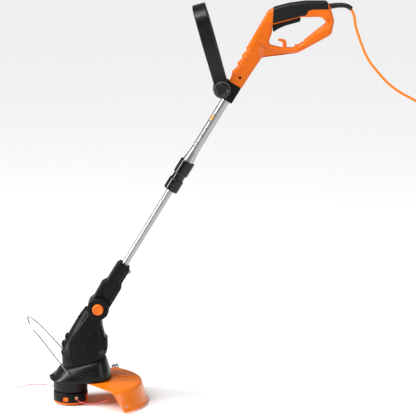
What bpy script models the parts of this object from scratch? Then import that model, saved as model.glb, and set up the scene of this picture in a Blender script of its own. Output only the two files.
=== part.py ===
"""Corded string trimmer: D-handle, telescopic shaft, tilting motor head, line spool.

Every length below is in millimetres and the helpers turn it into metres.  The origin is the
middle of the rear grip.  +X points back towards the operator, +Z up, and the machine is
symmetric about the plane y = 0 except for its buttons, hook, cutter blade and lines.
"""
import bpy
import bmesh
from math import ceil, cos, pi, radians, sin
from mathutils import Matrix, Vector

MM = 0.001
GAP = 0.3                     # between faces that touch on the real object

# ---- driving dimensions -------------------------------------------------------------------
SHAFT_LEAN = radians(31.3)    # shaft axis, from the vertical towards +X
HEAD_PIVOT = (-551, 0, -811)  # head tilt axis, on the shaft axis
FLOOR_Z = -1080               # underside of the spool cap

TUBE_WALL = 1.2
UPPER_TUBE_R = 12.0
LOWER_TUBE_R = 9.0
UPPER_TUBE = (475, 800)       # both tubes run along the shaft, measured from the head pivot
LOWER_TUBE = (34, 545)
FLARE_R = 15.8
SLEEVE = (430, 471)
WAIST = 414
TWIST_RING = (379, 413.4)
COLLAR_R = 20.5
COLLAR_BORE_R = 9.6

HANDLE_HALF = 17.0            # half thickness of the D-handle
HANDLE_ROUND = 7.0
PAD_SKIN = 2.5
AUX_PIVOT = (-215, 0, -210)
AUX_LEAN = radians(-15.8)
AUX_REACH = 232
AUX_HALF_WIDTH = 62
AUX_BAND = 18                 # half depth of the handle's band
BRACKET = (666, 715.4)

EAR_R = 30.0
EAR_IN = 22.3
EAR_OUT = 37.0
KNUCKLE_R = 28.5
KNUCKLE_HALF = 22.0

SPOOL_X = -630                # spool spindle
MOTOR_X = -592                # motor shaft
GEAR_MODULE = 2.0
PINION_TEETH = 10
SPOOL_GEAR_TEETH = 28
GEAR_Z = -990
SPOOL_R = 47.0
SHROUD_FLOOR_Z = -1010

GUARD_CENTRE_X = -585
GUARD_TOP_R = 151
GUARD_RIM_R = 165
GUARD_RIM_Z = -1074
GUARD_WALL = 2.6
WIRE_HINGE = (-629, 0, -981)
WIRE_R = 1.6

CORD_R = 3.5
COIL_CENTRE = (455, 0)
COIL_MID_R = 63
COIL_HALF = 17.5
COIL_LIFT = 2.6               # the tie passes under the coil


# ---- materials ----------------------------------------------------------------------------
PAINTS = {
    "orange_plastic": ((0.86, 0.17, 0.012), 0.38, 0.0),
    "orange_guard_plastic": ((0.90, 0.22, 0.02), 0.32, 0.0),
    "black_plastic": ((0.014, 0.014, 0.016), 0.45, 0.0),
    "gloss_black_plastic": ((0.010, 0.010, 0.012), 0.16, 0.0),
    "soft_grip_rubber": ((0.022, 0.022, 0.023), 0.75, 0.0),
    "aluminium": ((0.62, 0.62, 0.63), 0.30, 1.0),
    "steel": ((0.45, 0.45, 0.46), 0.28, 1.0),
    "spring_steel": ((0.38, 0.38, 0.39), 0.30, 1.0),
    "brass": ((0.72, 0.55, 0.25), 0.30, 1.0),
    "copper_and_iron": ((0.30, 0.20, 0.14), 0.50, 0.6),
    "white_nylon": ((0.75, 0.74, 0.70), 0.50, 0.0),
    "red_line_nylon": ((0.60, 0.06, 0.10), 0.35, 0.0),
    "orange_cord": ((0.90, 0.28, 0.02), 0.50, 0.0),
}


def material(slot):
    found = bpy.data.materials.get(slot)
    if found:
        return found
    colour, roughness, metallic = PAINTS[slot]
    made = bpy.data.materials.new(slot)
    made.use_nodes = True
    surface = made.node_tree.nodes["Principled BSDF"]
    surface.inputs["Base Color"].default_value = (*colour, 1.0)
    surface.inputs["Roughness"].default_value = roughness
    surface.inputs["Metallic"].default_value = metallic
    made.diffuse_color = (*colour, 1.0)
    return made


# ---- scene and helpers --------------------------------------------------------------------
def start_scene():
    for item in list(bpy.data.objects):
        bpy.data.objects.remove(item, do_unlink=True)
    groups = []
    for name in ("string_trimmer", "cutters"):
        group = bpy.data.collections.new(name)
        bpy.context.scene.collection.children.link(group)
        groups.append(group)
    return groups


PARTS, CUTTERS = start_scene()


def frame(name, location=(0, 0, 0), lean=0.0):
    """An empty on a joint's axis; lean turns it about +Y."""
    empty = bpy.data.objects.new(name, None)
    empty.location = Vector(location) * MM
    empty.rotation_euler = (0, lean, 0)
    PARTS.objects.link(empty)
    return empty


def place(item, parent=None, location=(0, 0, 0), rotation=(0, 0, 0)):
    item.parent = parent
    item.location = Vector(location) * MM
    item.rotation_euler = rotation
    return item


def finish(item, slot=None, smooth=40):
    """Link a piece with its material, or link it as a cutter when it has none."""
    if slot:
        item.data.materials.append(material(slot))
        PARTS.objects.link(item)
    else:
        CUTTERS.objects.link(item)
        item.hide_render = True
        item.display_type = "WIRE"
    if item.type == "MESH":
        item.data.shade_smooth()
        item.data.set_sharp_from_angle(angle=radians(smooth))
    return item


def from_bmesh(name, bm, slot=None, smooth=40):
    bmesh.ops.recalc_face_normals(bm, faces=bm.faces)
    mesh = bpy.data.meshes.new(name)
    bm.to_mesh(mesh)
    bm.free()
    return finish(bpy.data.objects.new(name, mesh), slot, smooth)


def box(name, size, slot=None, bevel=0.0):
    bm = bmesh.new()
    bmesh.ops.create_cube(bm, size=1.0)
    bmesh.ops.scale(bm, vec=Vector(size) * MM, verts=bm.verts)
    item = from_bmesh(name, bm, slot)
    if bevel:
        edge = item.modifiers.new("rounded_edges", "BEVEL")
        edge.width = bevel * MM
        edge.segments = 1
    return item


def cylinder(name, radius, length, slot=None, sides=24):
    """A cylinder about local Z, centred on its origin."""
    bm = bmesh.new()
    bmesh.ops.create_cone(bm, cap_ends=True, segments=sides, radius1=radius * MM,
                          radius2=radius * MM, depth=length * MM)
    return from_bmesh(name, bm, slot)


def turned(name, profile, slot=None, sides=20):
    """Turn a closed profile of (radius, height) points, outer side first from the top down."""
    bm = bmesh.new()
    points = [bm.verts.new((radius * MM, 0, height * MM)) for radius, height in profile]
    for first, second in zip(points, points[1:]):
        bm.edges.new((first, second))
    if profile[0][0] > 0:
        bm.edges.new((points[-1], points[0]))
    mesh = bpy.data.meshes.new(name)
    bm.to_mesh(mesh)
    bm.free()
    item = finish(bpy.data.objects.new(name, mesh), slot)
    screw = item.modifiers.new("turn", "SCREW")
    screw.steps = sides
    screw.render_steps = sides
    screw.use_merge_vertices = True
    screw.merge_threshold = 0.00001
    screw.use_smooth_shade = True
    return item


def ring_profile(outer, inner, bottom, top, chamfer=0.0):
    """The section of a plain ring, for turned()."""
    c = chamfer
    if c:
        outside = [(outer - c, top), (outer, top - c), (outer, bottom + c), (outer - c, bottom)]
    else:
        outside = [(outer, top), (outer, bottom)]
    return outside + [(inner, bottom), (inner, top)]


def rounded(corners, steps=4):
    """An outline through (x, y, radius) corners, each one rounded by an arc."""
    outline = []
    count = len(corners)
    for index, (x, y, radius) in enumerate(corners):
        here = Vector((x, y))
        before = Vector(corners[index - 1][:2]) - here
        after = Vector(corners[(index + 1) % count][:2]) - here
        reach = min(before.length, after.length) * 0.48
        half = before.angle(after) / 2
        if radius <= 0 or half > 1.54:
            outline.append((x, y))
            continue
        tangent = min(radius / abs(sin(half) / cos(half)), reach)
        radius = tangent * sin(half) / cos(half)
        centre = here + (before.normalized() + after.normalized()).normalized() * (radius / sin(half))
        start = here + before.normalized() * tangent - centre
        end = here + after.normalized() * tangent - centre
        turn = start.angle_signed(end)
        for step in range(steps + 1):
            spoke = start.copy()
            spoke.rotate(Matrix.Rotation(-turn * step / steps, 2))
            outline.append(tuple(centre + spoke))
    return outline


def as_mesh(curve_item, slot=None, smooth=40):
    """Replace a curve object by its welded mesh, at the same place."""
    bpy.context.view_layer.update()
    name = curve_item.name
    evaluated = curve_item.evaluated_get(bpy.context.evaluated_depsgraph_get())
    mesh = bpy.data.meshes.new_from_object(evaluated)
    bm = bmesh.new()
    bm.from_mesh(mesh)
    bmesh.ops.remove_doubles(bm, verts=bm.verts, dist=0.000005)
    bmesh.ops.recalc_face_normals(bm, faces=bm.faces)
    bm.to_mesh(mesh)
    bm.free()
    mesh.materials.clear()
    item = bpy.data.objects.new(name + "_mesh", mesh)
    matrix = curve_item.matrix_world.copy()
    parent = curve_item.parent
    bpy.data.objects.remove(curve_item)
    item.name = name
    item.parent = parent
    finish(item, slot, smooth)
    bpy.context.view_layer.update()
    item.matrix_world = matrix
    return item


def slab(name, outlines, half, slot=None, bevel=0.0, inset=0.0, parent=None,
         location=(0, 0, 0), rotation=(pi / 2, 0, 0)):
    """A flat outline in its local XY plane, extruded both ways, its edges rounded inwards.

    The default rotation stands the outline up in the XZ plane."""
    data = bpy.data.curves.new(name, "CURVE")
    data.dimensions = "2D"
    data.fill_mode = "BOTH"
    for outline in outlines:
        spline = data.splines.new("POLY")
        spline.points.add(len(outline) - 1)
        spline.use_cyclic_u = True
        for point, (x, y) in zip(spline.points, outline):
            point.co = (x * MM, y * MM, 0, 1)
    data.extrude = (half - bevel) * MM
    data.bevel_depth = bevel * MM
    data.bevel_resolution = 0
    data.offset = -(bevel + inset) * MM
    item = place(bpy.data.objects.new(name, data), parent, location, rotation)
    bpy.context.scene.collection.objects.link(item)
    return as_mesh(item, slot)


def smooth_path(points, spacing, closed=False):
    """Catmull-Rom curve through the points, read off at an even spacing."""
    knots = [Vector(point) for point in points]
    if closed:
        knots = [knots[-1]] + knots + knots[:2]
    else:
        knots = [2 * knots[0] - knots[1]] + knots + [2 * knots[-1] - knots[-2]]
    dense = []
    for a, b, c, d in zip(knots, knots[1:], knots[2:], knots[3:]):
        for step in range(24):
            t = step / 24
            dense.append(0.5 * (2 * b + (c - a) * t + (2 * a - 5 * b + 4 * c - d) * t * t
                                + (3 * b - a - 3 * c + d) * t ** 3))
    dense.append(knots[-2])
    lengths = [0.0]
    for a, b in zip(dense, dense[1:]):
        lengths.append(lengths[-1] + (b - a).length)
    count = max(2, ceil(lengths[-1] / spacing))
    path = []
    index = 0
    for step in range(count + 1):
        wanted = lengths[-1] * step / count
        while index < len(dense) - 2 and lengths[index + 1] < wanted:
            index += 1
        share = (wanted - lengths[index]) / max(lengths[index + 1] - lengths[index], 1e-9)
        path.append(dense[index].lerp(dense[index + 1], min(share, 1.0)))
    return path


def tube(name, path, radius, slot, resolution=2, radii=None, parent=None, location=(0, 0, 0),
         rotation=(0, 0, 0), mesh=False):
    """A round bar along a path of points, with filled ends; radii scales it point by point."""
    data = bpy.data.curves.new(name, "CURVE")
    data.dimensions = "3D"
    data.bevel_depth = radius * MM
    data.bevel_resolution = resolution
    data.use_fill_caps = True
    spline = data.splines.new("POLY")
    spline.points.add(len(path) - 1)
    for index, (point, at) in enumerate(zip(spline.points, path)):
        point.co = (*(Vector(at) * MM), 1)
        point.radius = radii[index] if radii else 1.0
    item = bpy.data.objects.new(name, data)
    place(item, parent, location, rotation)
    if not mesh:
        return finish(item, slot)
    bpy.context.scene.collection.objects.link(item)
    return as_mesh(item, slot)


def superellipse(angle, power):
    c = cos(angle)
    s = sin(angle)
    x = (abs(c) ** (2 / power)) * (1 if c >= 0 else -1)
    y = (abs(s) ** (2 / power)) * (1 if s >= 0 else -1)
    return x, y


def lofted(name, rings, slot=None, sides=24, power=2.8):
    """A solid through unlike rings, each given by its front and rear points and half width."""
    bm = bmesh.new()
    loops = []
    for front, rear, half_width in rings:
        middle = (Vector(front) + Vector(rear)) / 2
        reach = (Vector(rear) - Vector(front)) / 2
        loop = []
        for step in range(sides):
            along, across = superellipse(2 * pi * step / sides, power)
            point = middle + reach * along
            loop.append(bm.verts.new((point.x * MM, half_width * across * MM, point.y * MM)))
        loops.append(loop)
    for upper, lower in zip(loops, loops[1:]):
        for step in range(sides):
            after = (step + 1) % sides
            bm.faces.new((upper[step], upper[after], lower[after], lower[step]))
    bm.faces.new(loops[0])
    bm.faces.new(reversed(loops[-1]))
    return from_bmesh(name, bm, slot, smooth=35)


def boolean(item, other, operation="DIFFERENCE"):
    change = item.modifiers.new(other.name, "BOOLEAN")
    change.operation = operation
    change.solver = "EXACT"
    change.object = other
    return item


def cut(item, *cutters):
    for cutter in cutters:
        boolean(item, cutter)
    return item


def join(item, *others):
    for other in others:
        boolean(item, other, "UNION")
    return item


def half_space(name, side):
    """A cutter that takes everything on one side of the middle plane, less half a gap."""
    cutter = box(name, (1100, 300, 1400))
    return place(cutter, None, (-330, side * (150 - GAP / 2), -520))


# The shells that meet at the middle plane are cut by these: a left shell keeps y < 0.
CUT_RIGHT = half_space("cut_right_half", 1)
CUT_LEFT = half_space("cut_left_half", -1)
SIDES = (("left", -1, CUT_RIGHT), ("right", 1, CUT_LEFT))


def cross_hole(name, radius, at, y_from, y_to, parent=None, sides=12):
    """A round cutter along Y between two y positions."""
    cutter = cylinder(name, radius, y_to - y_from, sides=sides)
    return place(cutter, parent, (at[0], (y_from + y_to) / 2, at[1]), (pi / 2, 0, 0))


def spring(name, radius, wire, length, turns, slot, parent, location, rotation=(0, 0, 0)):
    """A compression spring about local Z, standing on its origin."""
    count = 7 * turns
    path = []
    for step in range(count + 1):
        angle = 2 * pi * step / 7
        path.append((radius * cos(angle), radius * sin(angle), wire + (length - 2 * wire) * step / count))
    return tube(name, path, wire, slot, 0, parent=parent, location=location, rotation=rotation)


def cross_screw(name, at, head_y, tip_y, slot="steel", parent=None):
    """A pan-head screw along Y, its head at head_y and its tip at tip_y."""
    way = 1 if head_y > tip_y else -1
    length = abs(head_y - tip_y)
    profile = [(0, length), (2.6, length), (3.3, length - 0.8), (3.3, length - 2.2),
               (1.5, length - 2.2), (1.5, 1.5), (0, 0)]
    item = turned(name, profile, slot, sides=10)
    return place(item, parent, (at[0], tip_y, at[1]), (-way * pi / 2, 0, 0))


# ---- joint frames -------------------------------------------------------------------------
SHAFT = frame("shaft_axis", HEAD_PIVOT, SHAFT_LEAN)
AUX = frame("aux_handle_axis", AUX_PIVOT, AUX_LEAN)
HEAD = frame("head_tilt_axis", HEAD_PIVOT)
SPOOL = frame("spool_axis", (SPOOL_X, 0, 0))
MOTOR = frame("motor_axis", (MOTOR_X, 0, 0))
WIRE = frame("wire_guard_axis", WIRE_HINGE)
TRIGGER_PIVOT = (-12, 0, -23)
TRIGGER = frame("trigger_axis", TRIGGER_PIVOT)


# ---- rear handle --------------------------------------------------------------------------
HANDLE_OUTER = ((-203, -204, 0), (-179, -161, 60), (-148, -101, 40), (-93, -3, 18), (-76, 7, 24),
                (-38, 17, 70), (6, 23, 90), (62, 23, 11), (71, 8, 14), (82, -29, 26), (75, -66, 16),
                (-14, -115, 26), (-66, -122, 60), (-109, -127, 14), (-140, -173, 20),
                (-171, -223, 0))
HANDLE_OPENING = ((-81, -40, 2), (-7, -20, 12), (47, -19, 12), (62, -34, 6), (-2, -85, 6),
                  (-20, -101, 8), (-57, -101, 30), (-88, -94, 8), (-91, -84, 8), (-83, -62, 10))
PAD_REGION = ((-78, 30, 0), (-81.5, -36, 0), (-7, -16.6, 8), (7, -14, 7), (13, -2, 7), (24, 1, 4),
              (67, 2, 0), (61, 30, 0))
HOOK = ((-44, -104, 0), (-44, -85, 8), (-51, -78, 6), (-67, -78, 3), (-67, -84, 3),
        (-56, -86, 4), (-55, -104, 0))
TRIGGER_BAY = ((-89, -64, 0), (-89, -13, 4), (-20, -8, 4), (-3, -14, 4), (-3, -40, 0), (-66, -64, 0))
HANDLE_SCREWS = ((-100, -38), (71, -29), (-32, -108))
NECK_SCREW_AT = 738           # along the shaft
SWITCH = (-47, 0, -8)


def handle_blank(name, slot=None, inset=0.0):
    return slab(name, (rounded(HANDLE_OUTER, 3), rounded(HANDLE_OPENING, 2)),
                HANDLE_HALF - inset, slot, bevel=HANDLE_ROUND, inset=inset)


def pad_blocks():
    """The grip pads' volume, and the slightly larger one that makes room for them."""
    cutters = []
    for name, grow in (("pad_block", 0.0), ("pad_seat", GAP)):
        block = slab(name, (rounded(PAD_REGION),), 40, inset=-grow)
        core = handle_blank(name + "_core", inset=PAD_SKIN + grow)
        cutters.append(cut(block, core))
    return cutters


def handle():
    pad_block, pad_seat = pad_blocks()
    bore = cylinder("upper_tube_bore", UPPER_TUBE_R + GAP, 120)
    place(bore, SHAFT, (0, 0, 742))
    trigger_bay = slab("trigger_bay", (rounded(TRIGGER_BAY),), 8.6)
    relief_seat = cylinder("relief_seat", 7.9, 34)
    place(relief_seat, None, (70, 0, 8), (0, pi / 2, 0))
    pin_hole = cross_hole("trigger_stub_hole", 2.3, (TRIGGER_PIVOT[0], TRIGGER_PIVOT[2]), -12.3, 12.3)
    neck_hole = cross_hole("neck_screw_hole", 2.3, (0, NECK_SCREW_AT), -40, 14, SHAFT)
    neck_sink = cross_hole("neck_screw_sink", 4.0, (0, NECK_SCREW_AT), -40, -13.2, SHAFT)
    screw_holes = [cross_hole(f"handle_screw_hole_{n}", 1.8, at, -9, 40)
                   for n, at in enumerate(HANDLE_SCREWS, 1)]
    screw_sinks = [cross_hole(f"handle_screw_sink_{n}", 3.7, at, 10.7, 40)
                   for n, at in enumerate(HANDLE_SCREWS, 1)]
    neck_end = place(box("neck_end", (90, 60, 60)), SHAFT, (0, 0, BRACKET[1] + GAP - 30))
    hook = slab("hook_block", (rounded(HOOK, 3),), 4.6, bevel=1.2)
    hook.location.y = -5.6 * MM
    for side, sign, other_half in SIDES:
        shell = handle_blank("handle_shell_" + side, "orange_plastic")
        cut(shell, other_half, neck_end, pad_seat, bore, trigger_bay, relief_seat, pin_hole,
            neck_hole, *screw_holes)
        if sign < 0:
            join(cut(shell, neck_sink), hook)
        else:
            cut(shell, *screw_sinks)
        pad = handle_blank("grip_pad_" + side, "soft_grip_rubber")
        boolean(pad, pad_block, "INTERSECT")
        cut(pad, other_half, relief_seat)
    for n, at in enumerate(HANDLE_SCREWS, 1):
        cross_screw(f"handle_screw_{n}", at, 14, -8)
    cross_screw("neck_screw", (0, NECK_SCREW_AT), -16, 13, parent=SHAFT)


def trigger_and_switch():
    outline = ((-81, -41, 2), (-81, -61, 3), (-66, -51, 20), (-48, -43, 20), (-9, -32, 3),
               (-6.5, -24, 3), (-9, -19.4, 3), (-20, -22, 4))
    relative = [(x - TRIGGER_PIVOT[0], y - TRIGGER_PIVOT[2], r) for x, y, r in outline]
    lever = slab("trigger", (rounded(relative),), 7.8, "black_plastic", bevel=1.5, parent=TRIGGER)
    join(lever, cross_hole("trigger_stubs", 2.0, (0, 0), -12, 12, TRIGGER))
    spring_seat = cylinder("trigger_spring_seat", 3.4, 8, sides=16)
    place(spring_seat, None, (-70, 0, -35))
    cut(lever, spring_seat)
    spring("trigger_spring", 2.3, 0.35, 26.3, 6, "spring_steel", None, (-70, 0, -38.5))
    body = box("switch_body", (22, 13, 9), "black_plastic", 0.8)
    place(body, None, (SWITCH[0], 0, -18.6))
    well = box("switch_well", (6.4, 4.4, 9.4))
    place(well, None, (SWITCH[0], 0, -20.4))
    cut(body, well)
    plunger = box("switch_plunger", (5.6, 3.6, 7.6), "white_nylon", 0.5)
    place(plunger, None, (SWITCH[0], 0, -24.9))


def strain_relief_and_cord():
    centre = smooth_path(((58, 0, 8), (72, 0, 8.4), (86, 0, 10), (100, 0, 10.5), (112, 0, 8.6),
                          (121, 0, 4.2), (127, 0, -1.6)), 6)
    last = len(centre) - 1
    radii = [1.0 - 0.22 * min(1.0, step / last) for step in range(last + 1)]
    tube("strain_relief", centre, 7.4, "black_plastic", 2, radii=radii)
    route = ((127.8, 0, -2.5), (131.5, 0, -8), (135.5, 0, -20), (139, 0, -44), (146, 0, -67),
             (155, 0, -92), (167, 0, -121), (183, 0, -147), (204, 0, -172), (226, 0, -196),
             (246, 0, -212), (262, 0, -223), (303, -3, -245), (342, -12, -270), (374, -28, -310),
             (392, -50, -370), (400, -80, -460), (402, -115, -580), (401, -150, -720),
             (398, -178, -860), (392, -192, -970), (385, -176, -1043), (380, -134, -1072),
             (378, -84, FLOOR_Z + CORD_R + COIL_LIFT), (378, -36, FLOOR_Z + CORD_R + COIL_LIFT))
    tube("power_cord", smooth_path(route, 19.5), CORD_R, "orange_cord", 2)


def cord_coil_and_plug():
    x, y = COIL_CENTRE
    bottom = FLOOR_Z + COIL_LIFT
    section = []
    for step in range(8):
        angle = 2 * pi * step / 8 + pi / 2
        section.append((COIL_MID_R - COIL_HALF * cos(angle), COIL_HALF + COIL_HALF * sin(angle)))
    ring = turned("cord_coil", section, "orange_cord", 28)
    place(ring, None, (x, y, bottom))
    tie_angle = radians(60)
    tie_at = (x + COIL_MID_R * cos(tie_angle), y + COIL_MID_R * sin(tie_angle), bottom + COIL_HALF)
    tie_profile = ring_profile(COIL_HALF + 2.4, COIL_HALF + 0.9, -5, 5)
    tie = turned("cord_tie", tie_profile, "black_plastic", 24)
    place(tie, None, tie_at, (pi / 2, 0, tie_angle))
    plug_x = x + COIL_MID_R + COIL_HALF - CORD_R
    plug_z = FLOOR_Z + 14
    profile = ((0, 0), (9.5, 0), (17, 3), (17.5, 14), (13.8, 30), (9, 38), (6.4, 46), (5.2, 62),
               (0, 62))
    body = turned("plug_body", [(r, -h) for r, h in profile], "orange_cord", 20)
    body.scale = (1.0, 0.78, 1.0)
    place(body, None, (plug_x, y - 102, plug_z), (pi / 2, 0, 0))
    for n, offset in enumerate((-9.5, 9.5), 1):
        pin = turned(f"plug_pin_{n}", ((0, 19), (1.6, 19), (2.4, 17.5), (2.4, 0), (0, 0)), "brass", 10)
        place(pin, None, (plug_x + offset * 0.9, y - 102 - GAP, plug_z), (pi / 2, 0, 0))


# ---- shaft --------------------------------------------------------------------------------
def upper_shaft():
    low, high = UPPER_TUBE
    r = UPPER_TUBE_R
    inner = r - TUBE_WALL
    flare_inner = FLARE_R - TUBE_WALL
    profile = ((r, high), (r, low + 29), (r + 0.8, low + 22), (FLARE_R - 0.5, low + 3),
               (FLARE_R, low - 2), (FLARE_R, low - 6), (flare_inner, low - 6),
               (flare_inner, low - 2), (flare_inner - 0.5, low + 3), (inner + 0.8, low + 22),
               (inner, low + 29), (inner, high))
    upper = place(turned("upper_tube", profile, "aluminium"), SHAFT)
    cut(upper, cross_hole("tube_screw_hole", 2.3, (0, NECK_SCREW_AT), -30, 30, SHAFT))
    sleeve_low, sleeve_top = SLEEVE
    seat = FLARE_R + GAP
    sleeve_profile = ((COLLAR_R - 1, sleeve_top), (COLLAR_R, sleeve_top - 1.2),
                      (COLLAR_R, sleeve_low + 1.2), (COLLAR_R - 1, sleeve_low),
                      (COLLAR_R - 3.4, sleeve_low), (COLLAR_R - 3.4, WAIST), (COLLAR_BORE_R, WAIST),
                      (COLLAR_BORE_R, low - 7.5), (seat, low - 7.5), (seat, sleeve_top))
    place(turned("tube_sleeve", sleeve_profile, "gloss_black_plastic"), SHAFT)
    ring_low, ring_top = TWIST_RING
    ring_section = ring_profile(COLLAR_R, COLLAR_BORE_R, ring_low, ring_top, 1.0)
    ring = place(turned("twist_ring", ring_section, "gloss_black_plastic"), SHAFT)
    pocket = turned("collet_pocket", ring_profile(14.4, 2, ring_low + 12, ring_top + 5))
    cut(ring, place(pocket, SHAFT))
    collet = ring_profile(14.0, COLLAR_BORE_R, ring_low + 12 + GAP, ring_top - 0.5, 1.5)
    collet = place(turned("clamp_collet", collet, "white_nylon"), SHAFT)
    slot = box("collet_slot", (16, 2, 16))
    cut(collet, place(slot, SHAFT, (12, 0, ring_low + 26)))


def lower_shaft():
    low, high = LOWER_TUBE
    tube_section = ring_profile(LOWER_TUBE_R, LOWER_TUBE_R - TUBE_WALL, low, high)
    place(turned("lower_tube", tube_section, "aluminium"), SHAFT)
    bush_r = UPPER_TUBE_R - TUBE_WALL - 0.35
    bush = ((bush_r - 1, high + 16), (bush_r, high + 15), (bush_r, high + GAP),
            (LOWER_TUBE_R - 3, high + GAP), (LOWER_TUBE_R - 3, high + 16))
    place(turned("guide_bush", bush, "white_nylon"), SHAFT)


def aux_bracket():
    low, top = BRACKET
    outline = ((17.5, low, 3), (17.5, top, 3), (-27, top, 4), (-27, low, 6))
    block = slab("aux_bracket", (rounded(outline),), 19, "black_plastic", bevel=2, parent=SHAFT)
    pivot = in_shaft_frame(AUX_PIVOT)
    boss = cylinder("bracket_boss", 24.5, 38.8, sides=28)
    place(boss, SHAFT, (pivot.x, 0, pivot.z), (pi / 2, 0, 0))
    join(block, boss)
    bore = cylinder("bracket_bore", UPPER_TUBE_R + GAP, 80)
    place(bore, SHAFT, (0, 0, (low + top) / 2))
    bolt_hole = cross_hole("bracket_bolt_hole", 4.4, (pivot.x, pivot.z), -30, 30, SHAFT)
    cut(block, bore, bolt_hole)


def in_shaft_frame(point):
    """A world point in the shaft frame."""
    offset = Vector(point) - Vector(HEAD_PIVOT)
    offset.rotate(Matrix.Rotation(-SHAFT_LEAN, 3, "Y"))
    return offset


def aux_handle():
    reach = AUX_REACH
    wide = AUX_HALF_WIDTH
    outer = [(33.5, -14, 0), (33.5, 40, 60), (wide, 120, 90), (wide, reach, 52)]
    inner = [(wide - 16, reach - 17, 36), (wide - 14, 122, 90), (20.2, 44, 60), (20.2, -14, 0)]
    left_outer = [(-x, y, r) for x, y, r in reversed(outer)]
    left_inner = [(-x, y, r) for x, y, r in reversed(inner)]
    outline = outer + left_outer + left_inner + inner
    arch = slab("aux_handle", (rounded(outline, 3),), AUX_BAND, "black_plastic", bevel=3.5,
                parent=AUX, rotation=(pi / 2, 0, pi / 2))
    for name, sign in (("near", -1), ("far", 1)):
        hub = cylinder("aux_hub_" + name, 24, 13.8, sides=28)
        place(hub, AUX, (0, sign * 26.7, 0), (pi / 2, 0, 0))
        join(arch, hub)
    button_well = cross_hole("aux_button_well", 18.5, (0, 0), -50, -27, AUX, 24)
    bolt_bore = cross_hole("aux_bolt_bore", 4.4, (0, 0), -60, 60, AUX)
    head_well = cross_hole("aux_bolt_head_well", 9.5, (0, 0), 29, 50, AUX, 20)
    cut(arch, button_well, bolt_bore, head_well)
    bolt = turned("aux_pivot_bolt", ((0, 8), (8, 8), (9, 6), (9, 4), (4, 4), (4, -54), (0, -54)),
                  "steel", 16)
    place(bolt, AUX, (0, 25.3, 0), (-pi / 2, 0, 0))
    button = turned("aux_lock_button", ((0, 8), (12, 7.4), (16.5, 5.6), (18, 3.4), (18, 0), (12, 0),
                                        (12, 3), (0, 3)), "gloss_black_plastic")
    place(button, AUX, (0, -31.3, 0), (pi / 2, 0, 0))
    spring("aux_button_spring", 8, 0.5, 6.9, 2, "spring_steel", AUX, (0, -27.2, 0), (pi / 2, 0, 0))


def neck():
    """Two shells clamp the lower tube and end in the knuckle that the head tilts on."""
    outline = ((16, 139, 0), (20, 131, 0), (20, 90, 4), (26, 79, 6), (26.5, 10, 0), (-26.5, 10, 0),
               (-28.5, 66, 8), (-20, 79, 8), (-20, 131, 0), (-17, 139, 0))
    knuckle = cylinder("neck_knuckle", KNUCKLE_R, 2 * KNUCKLE_HALF, sides=28)
    place(knuckle, SHAFT, (0, 0, 0), (pi / 2, 0, 0))
    bore = cylinder("neck_bore", LOWER_TUBE_R + GAP, 120)
    place(bore, SHAFT, (0, 0, 33.5 + 60))
    stem_hole = cross_hole("neck_stem_hole", 10.4, (0, 0), -40, 40, SHAFT, 20)
    screw_hole = cross_hole("neck_clamp_hole", 1.8, (14.5, 112), -10, 40, SHAFT)
    screw_sink = cross_hole("neck_clamp_sink", 3.7, (14.5, 112), 12.7, 40, SHAFT)
    for side, sign, other_half in SIDES:
        shell = slab("neck_shell_" + side, (rounded(outline, 3),), KNUCKLE_HALF - 1,
                     "black_plastic", bevel=5, parent=SHAFT)
        join(shell, knuckle)
        cut(shell, bore, stem_hole, screw_hole, other_half)
        if sign > 0:
            cut(shell, screw_sink)
    cross_screw("neck_clamp_screw", (14.5, 112), 16, -9, parent=SHAFT)


# ---- head ---------------------------------------------------------------------------------
HOUSING_RINGS = (((-588, -812), (-541, -845), 31), ((-604, -834), (-539, -866), 35),
                 ((-632, -881), (-530, -905), 42), ((-652, -921), (-528, -931), 46),
                 ((-652, -955), (-531, -942), 48), ((-652, -976), (-536, -949), 49))
HOUSING_CORE = (((-600, -838), (-545, -866), 30), ((-629, -884), (-534, -906), 38.5),
                ((-648.5, -922), (-532, -931), 42.5), ((-648.5, -955), (-535, -942), 44.5),
                ((-648.5, -996), (-540, -966), 45))
SHROUD_RINGS = (((-656, -977.6), (-533, -949.4), 51), ((-662, -982), (-529, -958), 58),
                ((-673, -996), (-522, -982), 68), ((-684, -1006), (-518, -1000), 71),
                ((-686, -1010), (-518, -1010), 71))
SHROUD_CORE = (((-650, -960), (-536, -930), 47), ((-659, -984), (-532, -960), 54),
               ((-669, -997), (-525, -984), 64.5), ((-679, -1006), (-521.5, -1003), 67.5))


def tilt_joint():
    """The orange release button, its stem through the knuckle, and its spring."""
    button = turned("pivot_button", ((0, 10), (12, 9.6), (14.6, 7.8), (15, 5), (15, 0), (9.5, 0),
                                     (9.5, -26), (0, -26)), "orange_plastic")
    place(button, HEAD, (0, -34, 0), (pi / 2, 0, 0))
    spring("pivot_button_spring", 6.5, 0.6, 20, 4, "spring_steel", HEAD, (0, 12.6, 0), (pi / 2, 0, 0))
    cap = turned("pivot_cap", ((0, 9), (13, 8.4), (15, 6.5), (15, 0), (9.5, 0), (9.5, -16), (0, -16)),
                 "black_plastic")
    place(cap, HEAD, (0, 29.3, 0), (-pi / 2, 0, 0))


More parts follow.
